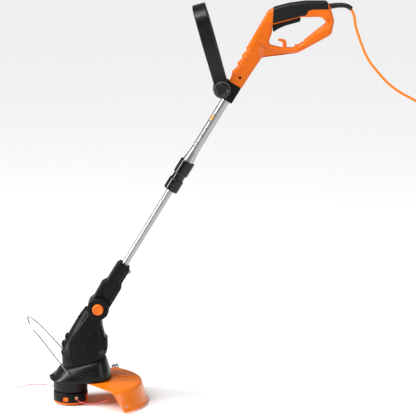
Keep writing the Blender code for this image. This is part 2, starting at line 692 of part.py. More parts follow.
def motor_housing():
    saddle = cross_hole("housing_saddle", EAR_R + 0.8, (0, 0), -EAR_IN, EAR_IN, HEAD, 28)
    core = lofted("housing_core", HOUSING_CORE)
    button_well = cross_hole("button_well", 15.5, (0, 0), -60, -29.7, HEAD, 20)
    cap_well = cross_hole("cap_well", 15.5, (0, 0), 29, 60, HEAD, 20)
    stem_bore = cross_hole("stem_bore", 10.0, (0, 0), -60, 60, HEAD, 20)
    screw_at = ((-640, -948), (-543, -930))
    holes = [cross_hole(f"housing_screw_hole_{n}", 1.8, at, -7, 60) for n, at in enumerate(screw_at, 1)]
    sinks = [cross_hole(f"housing_screw_sink_{n}", 3.7, at, 20.7, 60) for n, at in enumerate(screw_at, 1)]
    posts = [cross_hole(f"housing_post_{n}", 6.2, at, -40, 40) for n, at in enumerate(screw_at, 1)]
    for side, sign, other_half in SIDES:
        shell = lofted("motor_housing_" + side, HOUSING_RINGS, "black_plastic")
        ear = cylinder("ear_" + side, EAR_R, EAR_OUT - EAR_IN)
        place(ear, HEAD, (0, sign * (EAR_OUT + EAR_IN) / 2, 0), (pi / 2, 0, 0))
        cut(shell, core)
        join(shell, ear, *posts)
        cut(shell, saddle, stem_bore, other_half, *holes)
        cut(shell, button_well if sign < 0 else cap_well)
        if sign > 0:
            cut(shell, *sinks)
    for n, at in enumerate(screw_at, 1):
        cross_screw(f"housing_screw_{n}", at, 24, -6)


def base_shroud():
    """The flared base: hollow above for the gears, with a collar below round the spool."""
    shroud = lofted("base_shroud", SHROUD_RINGS, "black_plastic", 28, 2.5)
    collar = cylinder("collar", SPOOL_R, 35, sides=28)
    place(collar, SPOOL, (0, 0, -1024.5))
    join(shroud, collar)
    core = lofted("shroud_core", SHROUD_CORE, sides=24, power=2.5)
    collar_core = cylinder("collar_core", SPOOL_R - 2.6, 40, sides=28)
    place(collar_core, SPOOL, (0, 0, -1032.5))
    spindle_hole = cylinder("spindle_hole", 6.4, 60, sides=16)
    place(spindle_hole, SPOOL, (0, 0, -1010))
    wire_hole = cross_hole("wire_hole", WIRE_R + GAP, (WIRE_HINGE[0], WIRE_HINGE[2]), -100, 100)
    cut(shroud, core, collar_core, spindle_hole, wire_hole)
    for n, (x, y) in enumerate(((-541, -26), (-541, 26)), 1):
        hole = cylinder(f"guard_screw_hole_{n}", 1.8, 30, sides=16)
        cut(shroud, place(hole, None, (x, y, -1010)))


def gear_outline(teeth, module, phase):
    """Tooth points by formula: slim teeth that mesh with clearance."""
    pitch = teeth * module / 2
    points = []
    for tooth in range(teeth):
        middle = phase + 2 * pi * tooth / teeth
        for offset, radius in ((-0.26, -1.1), (-0.11, 0.75), (0.11, 0.75), (0.26, -1.1)):
            angle = middle + offset * 2 * pi / teeth
            points.append(((pitch + radius * module) * cos(angle), (pitch + radius * module) * sin(angle)))
    return points


def drive():
    """Stator, armature and fan on the motor axis; pinion and gear to the spool spindle."""
    stator = turned("motor_stator", ring_profile(27, 16, -934, -884, 2), "copper_and_iron", 16)
    place(stator, MOTOR)
    profile = ((0, -862), (2.5, -862), (2.5, -868), (8, -868.5), (8, -879), (3.5, -880), (3.5, -887),
               (14.8, -889), (14.8, -929), (3.5, -931), (3.5, -984.5), (0, -984.5))
    armature = place(turned("armature", profile, "copper_and_iron", 16), MOTOR)
    fan = place(turned("cooling_fan", ring_profile(30, 3.8, -955, -953), "white_nylon", 16), MOTOR)
    for blade in range(6):
        vane = box(f"fan_vane_{blade + 1}", (18, 1.6, 9))
        angle = 2 * pi * blade / 6
        place(vane, MOTOR, (19 * cos(angle), 19 * sin(angle), -949), (0, 0, angle))
        join(fan, vane)
    pinion = slab("pinion_teeth", (gear_outline(PINION_TEETH, GEAR_MODULE, 0),), 6,
                  parent=MOTOR, location=(0, 0, GEAR_Z), rotation=(0, 0, pi))
    join(armature, pinion)
    gear = slab("spool_gear", (gear_outline(SPOOL_GEAR_TEETH, GEAR_MODULE, pi / SPOOL_GEAR_TEETH),), 4,
                "steel", parent=SPOOL, location=(0, 0, GEAR_Z), rotation=(0, 0, 0))
    spindle = turned("spindle", ((0, 12), (5, 12), (5, -60), (3.5, -61), (3.5, -68), (0, -68)), sides=12)
    join(gear, place(spindle, SPOOL, (0, 0, GEAR_Z)))


def line_guard():
    """A fan-shaped plate with a flared skirt, its two ends cut on a slant."""
    wall = GUARD_WALL
    top = SHROUD_FLOOR_Z - GAP
    profile = ((16, top), (78, top), (GUARD_TOP_R - 8, top - 6), (GUARD_TOP_R - 2, top - 8.5),
               (GUARD_TOP_R + 1, top - 13), (GUARD_RIM_R - 1, GUARD_RIM_Z + 6),
               (GUARD_RIM_R + 1, GUARD_RIM_Z + 1.5), (GUARD_RIM_R + 3, GUARD_RIM_Z))
    bm = bmesh.new()
    points = [bm.verts.new((r * MM, 0, z * MM)) for r, z in profile]
    for first, second in zip(points, points[1:]):
        bm.edges.new((first, second))
    mesh = bpy.data.meshes.new("line_guard")
    bm.to_mesh(mesh)
    bm.free()
    guard = finish(bpy.data.objects.new("line_guard", mesh), "orange_guard_plastic")
    sweep = radians(184)
    turn = guard.modifiers.new("turn", "SCREW")
    turn.angle = sweep
    turn.steps = 24
    turn.render_steps = 24
    turn.use_merge_vertices = True
    turn.merge_threshold = 0.00001
    thick = guard.modifiers.new("thickness", "SOLIDIFY")
    thick.thickness = wall * MM
    thick.offset = -1
    place(guard, None, (GUARD_CENTRE_X, 0, 0), (0, 0, -sweep / 2))
    collar_room = cylinder("guard_collar_room", SPOOL_R + 1.5, 60, sides=28)
    place(collar_room, SPOOL, (0, 0, -1010))
    cut(guard, collar_room)
    for name, sign in (("near", -1), ("far", 1)):
        outward = Vector((-0.639, sign * 0.668, -0.383)).normalized()
        turned_out = outward.to_track_quat("Z", "Y").to_euler()
        corner = Vector((-506, sign * 130, -1018))
        block = box("guard_end_" + name, (500, 500, 200))
        cut(guard, place(block, None, corner + outward * 100, turned_out))
    for n, sign in ((1, -1), (2, 1)):
        hole = cylinder(f"guard_hole_{n}", 2.2, 30, sides=16)
        cut(guard, place(hole, None, (-541, sign * 26, -1010)))
        screw = turned(f"guard_screw_{n}", ((0, 9.5), (1.5, 8), (1.5, 2.2), (3.3, 2.2), (3.3, 0.8),
                                            (2.6, 0), (0, 0)), "steel", 10)
        place(screw, None, (-541, sign * 26, -1015.4))
    window = box("skirt_window", (14, 40, 6))
    place(window, None, (-468, -119, -1060), (0, radians(-8), radians(38)))
    cut(guard, window)
    blade = box("line_cutter_blade", (24, 24, 1.6), "steel")
    place(blade, None, corner + outward * (0.8 + GAP) + Vector((-5, -4.8, -2)), turned_out)


def wire_guard():
    """One bent wire: ends in the shroud's sides, straight legs and a round end loop."""
    half = ((0, -66, 0), (0, -75.5, 0), (-10, -74.5, 12), (-74, -54, 91), (-82, -51, 101),
            (-94, -48, 113), (-107, -33, 129), (-114, -12, 138), (-115.5, 0, 139.5))
    points = list(half) + [(x, -y, z) for x, y, z in reversed(half[:-1])]
    path = [points[0], points[1]]
    path += smooth_path(points[1:-1], 15)[1:-1]
    path += [points[-2], points[-1]]
    tube("wire_guard", path, WIRE_R, "steel", 1, parent=WIRE)


# ---- line spool ---------------------------------------------------------------------------
TAB_ANGLES = (radians(-103.5), radians(76.5))
LATCH_ANGLES = (radians(-13.5), radians(166.5))
EYELETS = ((radians(-67.5), -1057), (radians(112.5), -1057))


def at_rim(name, size, angle, radius, z, slot=None, bevel=0.0):
    piece = box(name, size, slot, bevel)
    return place(piece, SPOOL, (radius * cos(angle), radius * sin(angle), z), (0, 0, angle))


def spool_housing():
    profile = ((SPOOL_R - 2, -1044.6), (SPOOL_R, -1047), (SPOOL_R, -1070.4), (SPOOL_R - 3, -1070.4),
               (SPOOL_R - 3, -1048), (8, -1048), (8, -1062), (5.3, -1062), (5.3, -1044.6))
    housing = place(turned("spool_housing", profile, "black_plastic", 28), SPOOL)
    for n, angle in enumerate(TAB_ANGLES, 1):
        cut(housing, at_rim(f"tab_window_{n}", (14, 17, 15), angle, SPOOL_R, -1060.5))
    for n, angle in enumerate(LATCH_ANGLES, 1):
        cut(housing, at_rim(f"latch_window_{n}", (14, 17, 20), angle, SPOOL_R, -1063))
    for n, (angle, z) in enumerate(EYELETS, 1):
        hole = cylinder(f"eyelet_hole_{n}", 3.2, 20, sides=20)
        place(hole, SPOOL, (SPOOL_R * cos(angle), SPOOL_R * sin(angle), z), (0, pi / 2, angle))
        cut(housing, hole)
        eyelet = turned(f"line_eyelet_{n}", ((4.4, 1.2), (4.4, 0.4), (2.9, 0.4), (2.9, -4), (1.7, -4),
                                             (1.7, 1.2)), "brass", 10)
        place(eyelet, SPOOL, (SPOOL_R * cos(angle), SPOOL_R * sin(angle), z), (0, pi / 2, angle))


def line_spool():
    reel = ((32, -1050.5), (38.5, -1050.5), (38.5, -1052.5), (34, -1053), (34, -1064.5),
            (38.5, -1065), (38.5, -1067), (11, -1067), (8.6, -1067), (8.6, -1050.5))
    place(turned("line_spool", reel, "red_line_nylon"), SPOOL)
    spring("spool_spring", 14, 0.8, 8.5, 2, "spring_steel", SPOOL, (0, 0, -1075.8))
    cap = [(0, -1074.6), (10.2, -1074.6), (10.2, -1076.2), (43, -1076.2), (43, -1067.5), (43.6, -1067.5),
           (43.6, -1070.9), (SPOOL_R, -1070.9), (SPOOL_R, -1073.5), (SPOOL_R - 3, -1077.5),
           (SPOOL_R - 8, FLOOR_Z + 0.4), (SPOOL_R - 12, FLOOR_Z), (0, FLOOR_Z)]
    cap_item = place(turned("spool_cap", cap, "orange_plastic", 28), SPOOL)
    for n, angle in enumerate(TAB_ANGLES, 1):
        cut(cap_item, at_rim(f"tab_room_{n}", (12, 16.6, 6), angle, SPOOL_R - 1.2, -1068.5))
        at_rim(f"cap_release_tab_{n}", (3.4, 14, 11.4), angle, SPOOL_R - 1.6, -1061.5,
               "orange_plastic", 0.6)
    for n, angle in enumerate(LATCH_ANGLES, 1):
        latch = at_rim(f"cap_latch_{n}", (3.2, 14, 17), angle, SPOOL_R - 1.6, -1063)
        join(cap_item, latch)


def cutting_lines():
    right = ((-612.3, -42.7, -1057), (-603, -64, -1060.5), (-586, -76, -1063), (-560, -86, -1061),
             (-523, -96, -1049))
    left = ((-647.7, 42.7, -1057), (-657, 62, -1056), (-679, 66, -1054), (-722, 52, -1046),
            (-752, 36, -1043), (-779, 16, -1046))
    for name, route in (("right", right), ("left", left)):
        local = [(x - SPOOL_X, y, z) for x, y, z in route]
        tube("cutting_line_" + name, smooth_path(local, 12), 1.0, "red_line_nylon", 1, parent=SPOOL)


handle()
trigger_and_switch()
strain_relief_and_cord()
cord_coil_and_plug()
upper_shaft()
lower_shaft()
aux_bracket()
aux_handle()
neck()
tilt_joint()
motor_housing()
base_shroud()
drive()
line_guard()
wire_guard()
spool_housing()
line_spool()
cutting_lines()
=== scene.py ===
"""Looks for the corded string trimmer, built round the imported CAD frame.

Lengths are in millimetres in the row frame until the helpers turn them into metres.
"""
from math import ceil, cos, pi, radians, sin

import bmesh
import bpy
from mathutils import Matrix, Vector
from mathutils.bvhtree import BVHTree


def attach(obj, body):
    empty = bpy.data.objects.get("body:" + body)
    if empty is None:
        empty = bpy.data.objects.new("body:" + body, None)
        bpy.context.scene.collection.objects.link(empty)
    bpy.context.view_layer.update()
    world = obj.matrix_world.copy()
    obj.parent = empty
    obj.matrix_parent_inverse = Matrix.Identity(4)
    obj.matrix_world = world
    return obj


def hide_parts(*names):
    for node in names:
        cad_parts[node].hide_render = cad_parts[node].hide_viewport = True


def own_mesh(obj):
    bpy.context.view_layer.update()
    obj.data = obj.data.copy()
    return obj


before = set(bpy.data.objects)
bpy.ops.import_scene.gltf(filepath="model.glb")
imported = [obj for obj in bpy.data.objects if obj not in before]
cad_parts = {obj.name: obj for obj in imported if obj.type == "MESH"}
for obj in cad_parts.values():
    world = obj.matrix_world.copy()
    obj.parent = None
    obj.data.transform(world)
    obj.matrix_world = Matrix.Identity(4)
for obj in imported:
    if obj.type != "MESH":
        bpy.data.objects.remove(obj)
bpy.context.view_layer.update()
MM = 0.001
SCENE = bpy.context.scene


# ---- camera -------------------------------------------------------------------------------
def make_camera():
    """A long lens that looks at the trimmer's left side from a little above."""
    target = Vector((-0.2527, 0.0, -0.5370))
    elevation = radians(11.5)
    distance = 5.79
    data = bpy.data.cameras.new("camera")
    data.sensor_width = 36.0
    data.lens = 185.6
    item = bpy.data.objects.new("camera", data)
    item.location = target + distance * Vector((0.0, -cos(elevation), sin(elevation)))
    item.rotation_euler = (pi / 2 - elevation, 0.0, 0.0)
    SCENE.collection.objects.link(item)
    SCENE.camera = item


make_camera()


# ---- mesh helpers -------------------------------------------------------------------------
def place(x, y, z, lean=0.0, turn=0.0, tip=0.0):
    """A matrix in metres: tip about X, then turn about Z, then lean about Y, then the shift."""
    return (Matrix.Translation(Vector((x, y, z)) * MM) @ Matrix.Rotation(lean, 4, "Y")
            @ Matrix.Rotation(turn, 4, "Z") @ Matrix.Rotation(tip, 4, "X"))


LEAN = radians(31.3)                           # of the shaft, from upright
HEAD_PIVOT = (-551, 0, -811)
AUX_PIVOT = (-215, 0, -210)
SHAFT = place(*HEAD_PIVOT, LEAN)
AUX = place(*AUX_PIVOT, radians(-15.8))
HEAD = place(*HEAD_PIVOT)
SPOOL = place(-630, 0, 0)
FLOOR_Z = -1080
PARTING_GAP = 0.15                             # half the gap along a parting line
TUBE_ROOM_R = 12.3
SCREW_HOLE_R = 1.8                             # of the hole and the sink for a shell screw
SCREW_SINK_R = 3.7
Y_AXIS = Matrix.Rotation(pi / 2, 4, "X")       # local +Z becomes world -Y, towards the left side
SIDE = Matrix.Rotation(pi / 2, 4, "X")         # an outline's (x, y) becomes world (x, z)


def link(item):
    """Put a new object into the scene."""
    SCENE.collection.objects.link(item)
    return item


def from_bmesh(name, bm, matrix=None):
    """An object from a closed bmesh, moved by the matrix, its faces turned outwards."""
    if matrix is not None:
        bm.transform(matrix)
    bmesh.ops.recalc_face_normals(bm, faces=bm.faces)
    if bm.calc_volume(signed=True) < 0:
        bmesh.ops.reverse_faces(bm, faces=bm.faces)
    mesh = bpy.data.meshes.new(name)
    bm.to_mesh(mesh)
    bm.free()
    return link(bpy.data.objects.new(name, mesh))


def bake(item):
    """Replace the item's mesh by what its modifiers make of it."""
    graph = bpy.context.evaluated_depsgraph_get()
    mesh = bpy.data.meshes.new_from_object(item.evaluated_get(graph), depsgraph=graph)
    item.modifiers.clear()
    old = item.data
    item.data = mesh
    if old.users == 0:
        bpy.data.meshes.remove(old)
    return item


def combine(item, others, operation="DIFFERENCE"):
    """Cut the others from the item, or join or intersect with them, and remove them."""
    for other in others:
        change = item.modifiers.new("change", "BOOLEAN")
        change.operation = operation
        change.solver = "EXACT"
        change.object = other
    bake(item)
    for other in others:
        bpy.data.objects.remove(other)
    return item


def gathered(item, others):
    """Add closed solids to a moulding that soften() is about to fuse into one skin."""
    bm = bmesh.new()
    bm.from_mesh(item.data)
    for other in others:
        bm.from_mesh(other.data)
        bpy.data.objects.remove(other)
    bm.to_mesh(item.data)
    bm.free()
    return item


FOLDED, STRAIGHT = 0.02, 1.55                  # half angles outside these leave a corner sharp


def circle(sides):
    """(cos, sin) at even steps round a circle."""
    return [(cos(2 * pi * k / sides), sin(2 * pi * k / sides)) for k in range(sides)]


def rounded(corners, steps=6):
    """An outline through (x, y, radius) corners, each one rounded by an arc."""
    outline = []
    count = len(corners)
    for index, (x, y, radius) in enumerate(corners):
        here = Vector((x, y))
        before = Vector(corners[index - 1][:2]) - here
        after = Vector(corners[(index + 1) % count][:2]) - here
        round_it = radius > 0 and min(before.length, after.length) >= 1e-6
        half = before.angle(after) / 2 if round_it else 0.0
        if not FOLDED <= half <= STRAIGHT:
            outline.append((x, y))
            continue
        tangent = min(radius * cos(half) / sin(half), 0.48 * before.length, 0.48 * after.length)
        radius = tangent * sin(half) / cos(half)
        middle = (before.normalized() + after.normalized()).normalized()
        centre = here + middle * (radius / sin(half))
        start = here + before.normalized() * tangent - centre
        end = here + after.normalized() * tangent - centre
        turn = start.angle_signed(end)
        for step in range(steps + 1):
            spoke = start.copy()
            spoke.rotate(Matrix.Rotation(-turn * step / steps, 2))
            outline.append(tuple(centre + spoke))
    return outline


def turned(name, corners, matrix=None, sides=96, steps=4):
    """A solid of revolution about local Z from closed (radius, height, fillet) corners."""
    outline = rounded([(c + (0,))[:3] for c in corners], steps)
    bm = bmesh.new()
    rings = []
    for radius, height in outline:
        if radius < 1e-6:
            rings.append([bm.verts.new((0, 0, height * MM))])
            continue
        rings.append([bm.verts.new((radius * MM * c, radius * MM * s, height * MM))
                      for c, s in circle(sides)])
    for first, second in zip(rings, rings[1:] + rings[:1]):
        if len(first) == 1 and len(second) == 1:
            continue
        for k in range(sides):
            j = (k + 1) % sides
            face = (first[k % len(first)], first[j % len(first)],
                    second[j % len(second)], second[k % len(second)])
            bm.faces.new(list(dict.fromkeys(face)))
    return from_bmesh(name, bm, matrix)


def skinned(name, bm, rings, matrix=None):
    """A solid from rings of equal count, each joined to the next, the first and last filled."""
    for first, second in zip(rings, rings[1:]):
        for k in range(len(first)):
            j = (k + 1) % len(first)
            bm.faces.new((first[k], first[j], second[j], second[k]))
    bm.faces.new(rings[0])
    bm.faces.new(rings[-1])
    return from_bmesh(name, bm, matrix)


def slab(name, outlines, half, matrix=None, bevel=0.0, steps=5, inset=0.0):
    """A flat outline extruded both ways along its local Z, its edges rounded inwards."""
    data = bpy.data.curves.new(name, "CURVE")
    data.dimensions = "2D"
    data.fill_mode = "BOTH"
    for outline in outlines:
        spline = data.splines.new("POLY")
        spline.points.add(len(outline) - 1)
        spline.use_cyclic_u = True
        for point, (x, y) in zip(spline.points, outline):
            point.co = (x * MM, y * MM, 0, 1)
    data.extrude = (half - bevel) * MM
    data.bevel_depth = bevel * MM
    data.bevel_resolution = steps
    data.offset = -(bevel + inset) * MM
    curve = link(bpy.data.objects.new(name + "_curve", data))
    bpy.context.view_layer.update()
    mesh = bpy.data.meshes.new_from_object(curve.evaluated_get(bpy.context.evaluated_depsgraph_get()))
    bpy.data.objects.remove(curve)
    bm = bmesh.new()
    bm.from_mesh(mesh)
    bpy.data.meshes.remove(mesh)
    bmesh.ops.remove_doubles(bm, verts=bm.verts, dist=0.000003)
    return from_bmesh(name, bm, matrix)


def box(name, size, matrix=None, bevel=0.0, segments=3):
    """A box about the matrix's origin, its edges rounded."""
    bm = bmesh.new()
    bmesh.ops.create_cube(bm, size=1.0)
    bmesh.ops.scale(bm, vec=Vector(size) * MM, verts=bm.verts)
    if bevel:
        bmesh.ops.bevel(bm, geom=bm.edges[:], offset=bevel * MM, segments=segments, profile=0.5,
                        affect="EDGES")
    return from_bmesh(name, bm, matrix)


def ball(name, radii, matrix):
    """An ellipsoid cushion, always joined into a larger moulding."""
    bm = bmesh.new()
    bmesh.ops.create_uvsphere(bm, u_segments=32, v_segments=20, radius=1.0)
    bmesh.ops.scale(bm, vec=Vector(radii) * MM, verts=bm.verts)
    return from_bmesh(name, bm, matrix)


def between(a, b, c, d, t):
    """The value a share t of the way from b to c, on the Catmull-Rom curve through all four."""
    return 0.5 * (2 * b + (c - a) * t + (2 * a - 5 * b + 4 * c - d) * t * t
                  + (3 * b - a - 3 * c + d) * t ** 3)


def smooth_path(points, spacing):
    """A Catmull-Rom curve through the points, read off at an even spacing."""
    knots = [Vector(point) for point in points]
    knots = [2 * knots[0] - knots[1]] + knots + [2 * knots[-1] - knots[-2]]
    samples = 24
    dense = []
    for a, b, c, d in zip(knots, knots[1:], knots[2:], knots[3:]):
        dense += [between(a, b, c, d, step / samples) for step in range(samples)]
    dense.append(knots[-2])
    lengths = [0.0]
    for a, b in zip(dense, dense[1:]):
        lengths.append(lengths[-1] + (b - a).length)
    count = max(2, ceil(lengths[-1] / spacing))
    path = []
    index = 0
    for step in range(count + 1):
        wanted = lengths[-1] * step / count
        while index < len(dense) - 2 and lengths[index + 1] < wanted:
            index += 1
        share = (wanted - lengths[index]) / max(lengths[index + 1] - lengths[index], 1e-9)
        path.append(dense[index].lerp(dense[index + 1], min(share, 1.0)))
    return path


def pipe(name, path, radii, matrix=None, sides=20):
    """A round bar with filled ends along a path; radii is one number or one per point."""
    points = [Vector(point) for point in path]
    last = len(points) - 1
    bm = bmesh.new()
    rings = []
    across = None
    for index, point in enumerate(points):
        ahead = (points[min(index + 1, last)] - points[max(index - 1, 0)]).normalized()
        if across is None:
            across = ahead.orthogonal().normalized()
        across = (across - ahead * across.dot(ahead)).normalized()
        other = ahead.cross(across)
        radius = radii[index] if isinstance(radii, (list, tuple)) else radii
        rings.append([bm.verts.new((point + (across * c + other * s) * radius) * MM)
                      for c, s in circle(sides)])
    return skinned(name, bm, rings, matrix)


def lofted(name, rings, sides, power=2.8, levels_between=6):
    """A solid through (front, rear, half width) rings, with smooth rings put in between.

    Each ring is a rounded box: a power of 2 makes it an ellipse, and more makes it squarer."""
    keys = [(Vector(front), Vector(rear), Vector((half, 0))) for front, rear, half in rings]
    keys = [tuple(2 * a - b for a, b in zip(keys[0], keys[1]))] + keys
    keys.append(tuple(2 * a - b for a, b in zip(keys[-1], keys[-2])))
    levels = []
    for a, b, c, d in zip(keys, keys[1:], keys[2:], keys[3:]):
        for step in range(levels_between):
            t = step / levels_between
            levels.append([between(*four, t) for four in zip(a, b, c, d)])
    levels.append(list(keys[-2]))
    bm = bmesh.new()
    loops = []
    for front, rear, half in levels:
        middle = (front + rear) / 2
        reach = (rear - front) / 2
        loop = []
        for c, s in circle(sides):
            along = abs(c) ** (2 / power) * (1 if c >= 0 else -1)
            across = abs(s) ** (2 / power) * (1 if s >= 0 else -1)
            point = middle + reach * along
            loop.append(bm.verts.new((point.x * MM, half.x * across * MM, point.y * MM)))
        loops.append(loop)
    return skinned(name, bm, loops)


def relax(item, rounds):
    """Smooth out a moulding's surface."""
    change = item.modifiers.new("relax", "SMOOTH")
    change.factor = 0.5
    change.iterations = rounds
    return bake(item)


def soften(item, voxel, rounds):
    """Fuse overlapping solids into one skin and blend their joins, as a mould does."""
    change = item.modifiers.new("voxels", "REMESH")
    change.mode = "VOXEL"
    change.voxel_size = voxel * MM
    return relax(item, rounds)


def half_of(item, name, sign):
    """The part of a moulding on one side of the middle plane, closed along the parting line."""
    twin = item.copy()
    twin.data = item.data.copy()
    twin.name = name
    link(twin)
    bm = bmesh.new()
    bm.from_mesh(twin.data)
    cut = bmesh.ops.bisect_plane(bm, geom=bm.verts[:] + bm.edges[:] + bm.faces[:], dist=1e-7,
                                 plane_co=(0, sign * PARTING_GAP * MM, 0), plane_no=(0, -sign, 0),
                                 clear_outer=True)
    edges = [e for e in cut["geom_cut"] if isinstance(e, bmesh.types.BMEdge)]
    bmesh.ops.triangle_fill(bm, edges=edges, use_beauty=True)
    bmesh.ops.recalc_face_normals(bm, faces=bm.faces)
    bm.to_mesh(twin.data)
    bm.free()
    return twin


def piece(item, paint, body, *nodes, slot=None, sharp=38, weighted=True):
    """Finish a piece: material, smooth shading, body, and the CAD nodes it stands for.

    sharp is the angle in degrees over which an edge stays sharp. The slot argument is not used."""
    item.data.materials.clear()
    item.data.materials.append(paint)
    for face in item.data.polygons:
        face.use_smooth = True
        face.material_index = 0
    item.data.set_sharp_from_angle(angle=radians(sharp))
    if weighted:
        change = item.modifiers.new("normals", "WEIGHTED_NORMAL")
        change.keep_sharp = True
        bake(item)
    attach(item, body)
    for node in nodes:
        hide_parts(node)
    return item


def halves(whole, stem, paint, body, node_stem, sharp=50):
    """Split a moulding into its left and right pieces."""
    for side, sign in (("left", -1), ("right", 1)):
        piece(half_of(whole, f"{stem}_{side}", sign), paint, body, f"{node_stem}_{side}", sharp=sharp)
    bpy.data.objects.remove(whole)


# ---- materials ----------------------------------------------------------------------------
def set_inputs(node, **values):
    """Set a node's inputs by name, with an underscore for each space."""
    for name, value in values.items():
        node.inputs[name.replace("_", " ")].default_value = value


def material(name, slot, colour, roughness, metallic=0.0, grain=900.0, depth=0.00004, mottle=0.05,
             rough_spread=0.06, coat=0.0, coat_rough=0.1, edge_highlight=0.0, streak=None, specular=0.5,
             subsurface=0.0, blotch=45.0, second=None):
    """A moulded or metal surface: mottled colour, uneven gloss, fine relief, and paler edges painted on as
    a highlight.

    grain is the relief's frequency per metre, depth its height in metres, and blotch the
    mottling's frequency. streak is (lean, across, along) for a relief and gloss drawn out
    along a leaning axis. second is the colour mottled into the first."""
    made = bpy.data.materials.new(name)
    made.use_nodes = True
    made["slot"] = slot
    tree = made.node_tree
    nodes = tree.nodes
    links = tree.links
    shader = nodes["Principled BSDF"]
    set_inputs(shader, Metallic=metallic, Coat_Weight=coat, Coat_Roughness=coat_rough,
               Specular_IOR_Level=specular, Subsurface_Weight=subsurface,
               Subsurface_Radius=(0.006, 0.003, 0.001))
    where = nodes.new("ShaderNodeTexCoord").outputs["Object"]
    if streak:
        lean, across, along = streak
        turn = nodes.new("ShaderNodeMapping")
        turn.vector_type = "TEXTURE"
        set_inputs(turn, Rotation=(0.0, lean, 0.0))
        stretch = nodes.new("ShaderNodeMapping")
        set_inputs(stretch, Scale=(across, across, along))
        links.new(where, turn.inputs["Vector"])
        links.new(turn.outputs["Vector"], stretch.inputs["Vector"])
        where_relief = stretch.outputs["Vector"]
        grain = 1.0
    else:
        where_relief = where

    def noise(vector, scale, detail, rough=0.5):
        node = nodes.new("ShaderNodeTexNoise")
        set_inputs(node, Scale=scale, Detail=detail, Roughness=rough)
        links.new(vector, node.inputs["Vector"])
        return node.outputs["Fac"]

    def spread(value, low, high, start=0.3, end=0.7):
        node = nodes.new("ShaderNodeMapRange")
        set_inputs(node, From_Min=start, From_Max=end, To_Min=low, To_Max=high)
        links.new(value, node.inputs["Value"])
        return node.outputs["Result"]

    def blend(factor, first, second):
        node = nodes.new("ShaderNodeMix")
        node.data_type = "RGBA"
        links.new(factor, node.inputs[0])
        for socket, value in ((node.inputs[6], first), (node.inputs[7], second)):
            if isinstance(value, tuple):
                socket.default_value = (*value, 1.0)
            else:
                links.new(value, socket)
        return node.outputs[2]

    dark = tuple(c * (1 - mottle) for c in colour)
    light = second or tuple(min(1.0, c * (1 + mottle) + 0.004 * mottle) for c in colour)
    tone = blend(spread(noise(where, blotch, 3.0), 0.0, 1.0), dark, light)
    relief = noise(where_relief, grain, 2.0, 0.6)
    tone = blend(spread(relief, 0.0, 0.35), tone, tuple(c * (1 - 1.6 * mottle) for c in colour))
    # Paler colour on pointy edges and rims is a painted highlight.
    if edge_highlight:
        edge = nodes.new("ShaderNodeNewGeometry").outputs["Pointiness"]
        highlight_tone = tuple(min(1.0, c * 1.35 + 0.045) for c in colour)
        tone = blend(spread(edge, 0.0, edge_highlight, 0.52, 0.62), tone, highlight_tone)
    links.new(tone, shader.inputs["Base Color"])
    uneven = noise(where, 110.0, 4.0) if not streak else relief
    links.new(spread(uneven, roughness - rough_spread, roughness + rough_spread),
              shader.inputs["Roughness"])
    bump = nodes.new("ShaderNodeBump")
    set_inputs(bump, Strength=0.6, Distance=depth)
    links.new(relief, bump.inputs["Height"])
    links.new(bump.outputs["Normal"], shader.inputs["Normal"])
    return made


# Materials below that are given an edge setting get a painted highlight on their edges.
ORANGE = material("moulded_orange", "orange_plastic", (0.67, 0.122, 0.0015), 0.34, grain=1500,
                  depth=0.00003, mottle=0.04, edge_highlight=0.3, coat=0.08, coat_rough=0.2, specular=0.2)
GUARD = material("guard_orange", "orange_guard_plastic", (0.82, 0.180, 0.004), 0.28, grain=500,
                 depth=0.000015, mottle=0.03, coat=0.25, coat_rough=0.15, subsurface=0.15, specular=0.3)
BLACK = material("moulded_black", "black_plastic", (0.0044, 0.0044, 0.0050), 0.38, grain=2200,
                 depth=0.00006, mottle=0.18, edge_highlight=0.8, specular=0.13)
SATIN = material("satin_black", "black_plastic", (0.0046, 0.0046, 0.0052), 0.34, grain=1600,
                 depth=0.00002, mottle=0.15, edge_highlight=0.45, coat=0.18, coat_rough=0.24, specular=0.13)
GREY = material("grey_trim", "black_plastic", (0.055, 0.057, 0.060), 0.36, grain=1600, depth=0.00003,
                mottle=0.12, edge_highlight=0.3)
GLOSS = material("gloss_black", "gloss_black_plastic", (0.0045, 0.0045, 0.0052), 0.16, grain=600,
                 depth=0.00001, mottle=0.12, rough_spread=0.03, coat=0.45, coat_rough=0.06,
                 specular=0.12)
RUBBER = material("soft_grip", "soft_grip_rubber", (0.0075, 0.0075, 0.0082), 0.44, grain=2600,
                  depth=0.00010, mottle=0.22, rough_spread=0.08, specular=0.18)
ALUMINIUM = material("drawn_aluminium", "aluminium", (0.38, 0.38, 0.385), 0.33, metallic=1.0,
                     depth=0.00002, mottle=0.04, rough_spread=0.05, streak=(LEAN, 1400.0, 9.0))
STEEL = material("plated_steel", "steel", (0.48, 0.48, 0.49), 0.26, metallic=1.0, grain=1800,
                 depth=0.00002, mottle=0.08, rough_spread=0.08)
DARK_STEEL = material("blackened_steel", "steel", (0.030, 0.030, 0.032), 0.35, metallic=0.9, grain=1800,
                      depth=0.00002, mottle=0.15)
SPRING = material("spring_wire", "spring_steel", (0.36, 0.36, 0.38), 0.28, metallic=1.0, grain=2500,
                  depth=0.00002, mottle=0.1)
BRASS = material("brass", "brass", (0.62, 0.38, 0.16), 0.28, metallic=1.0, grain=1800, depth=0.00002,
                 mottle=0.1, rough_spread=0.08)
COPPER = material("wound_copper", "copper_and_iron", (0.42, 0.19, 0.09), 0.38, metallic=0.8,
                  depth=0.00020, mottle=0.25, second=(0.22, 0.20, 0.19), blotch=160.0)
NYLON = material("natural_nylon", "white_nylon", (0.70, 0.68, 0.62), 0.45, grain=1500, depth=0.00003,
                 subsurface=0.1)
WIRE = material("guard_wire_steel", "steel", (0.34, 0.34, 0.35), 0.22, metallic=1.0, grain=1800,
                depth=0.00002, mottle=0.15)
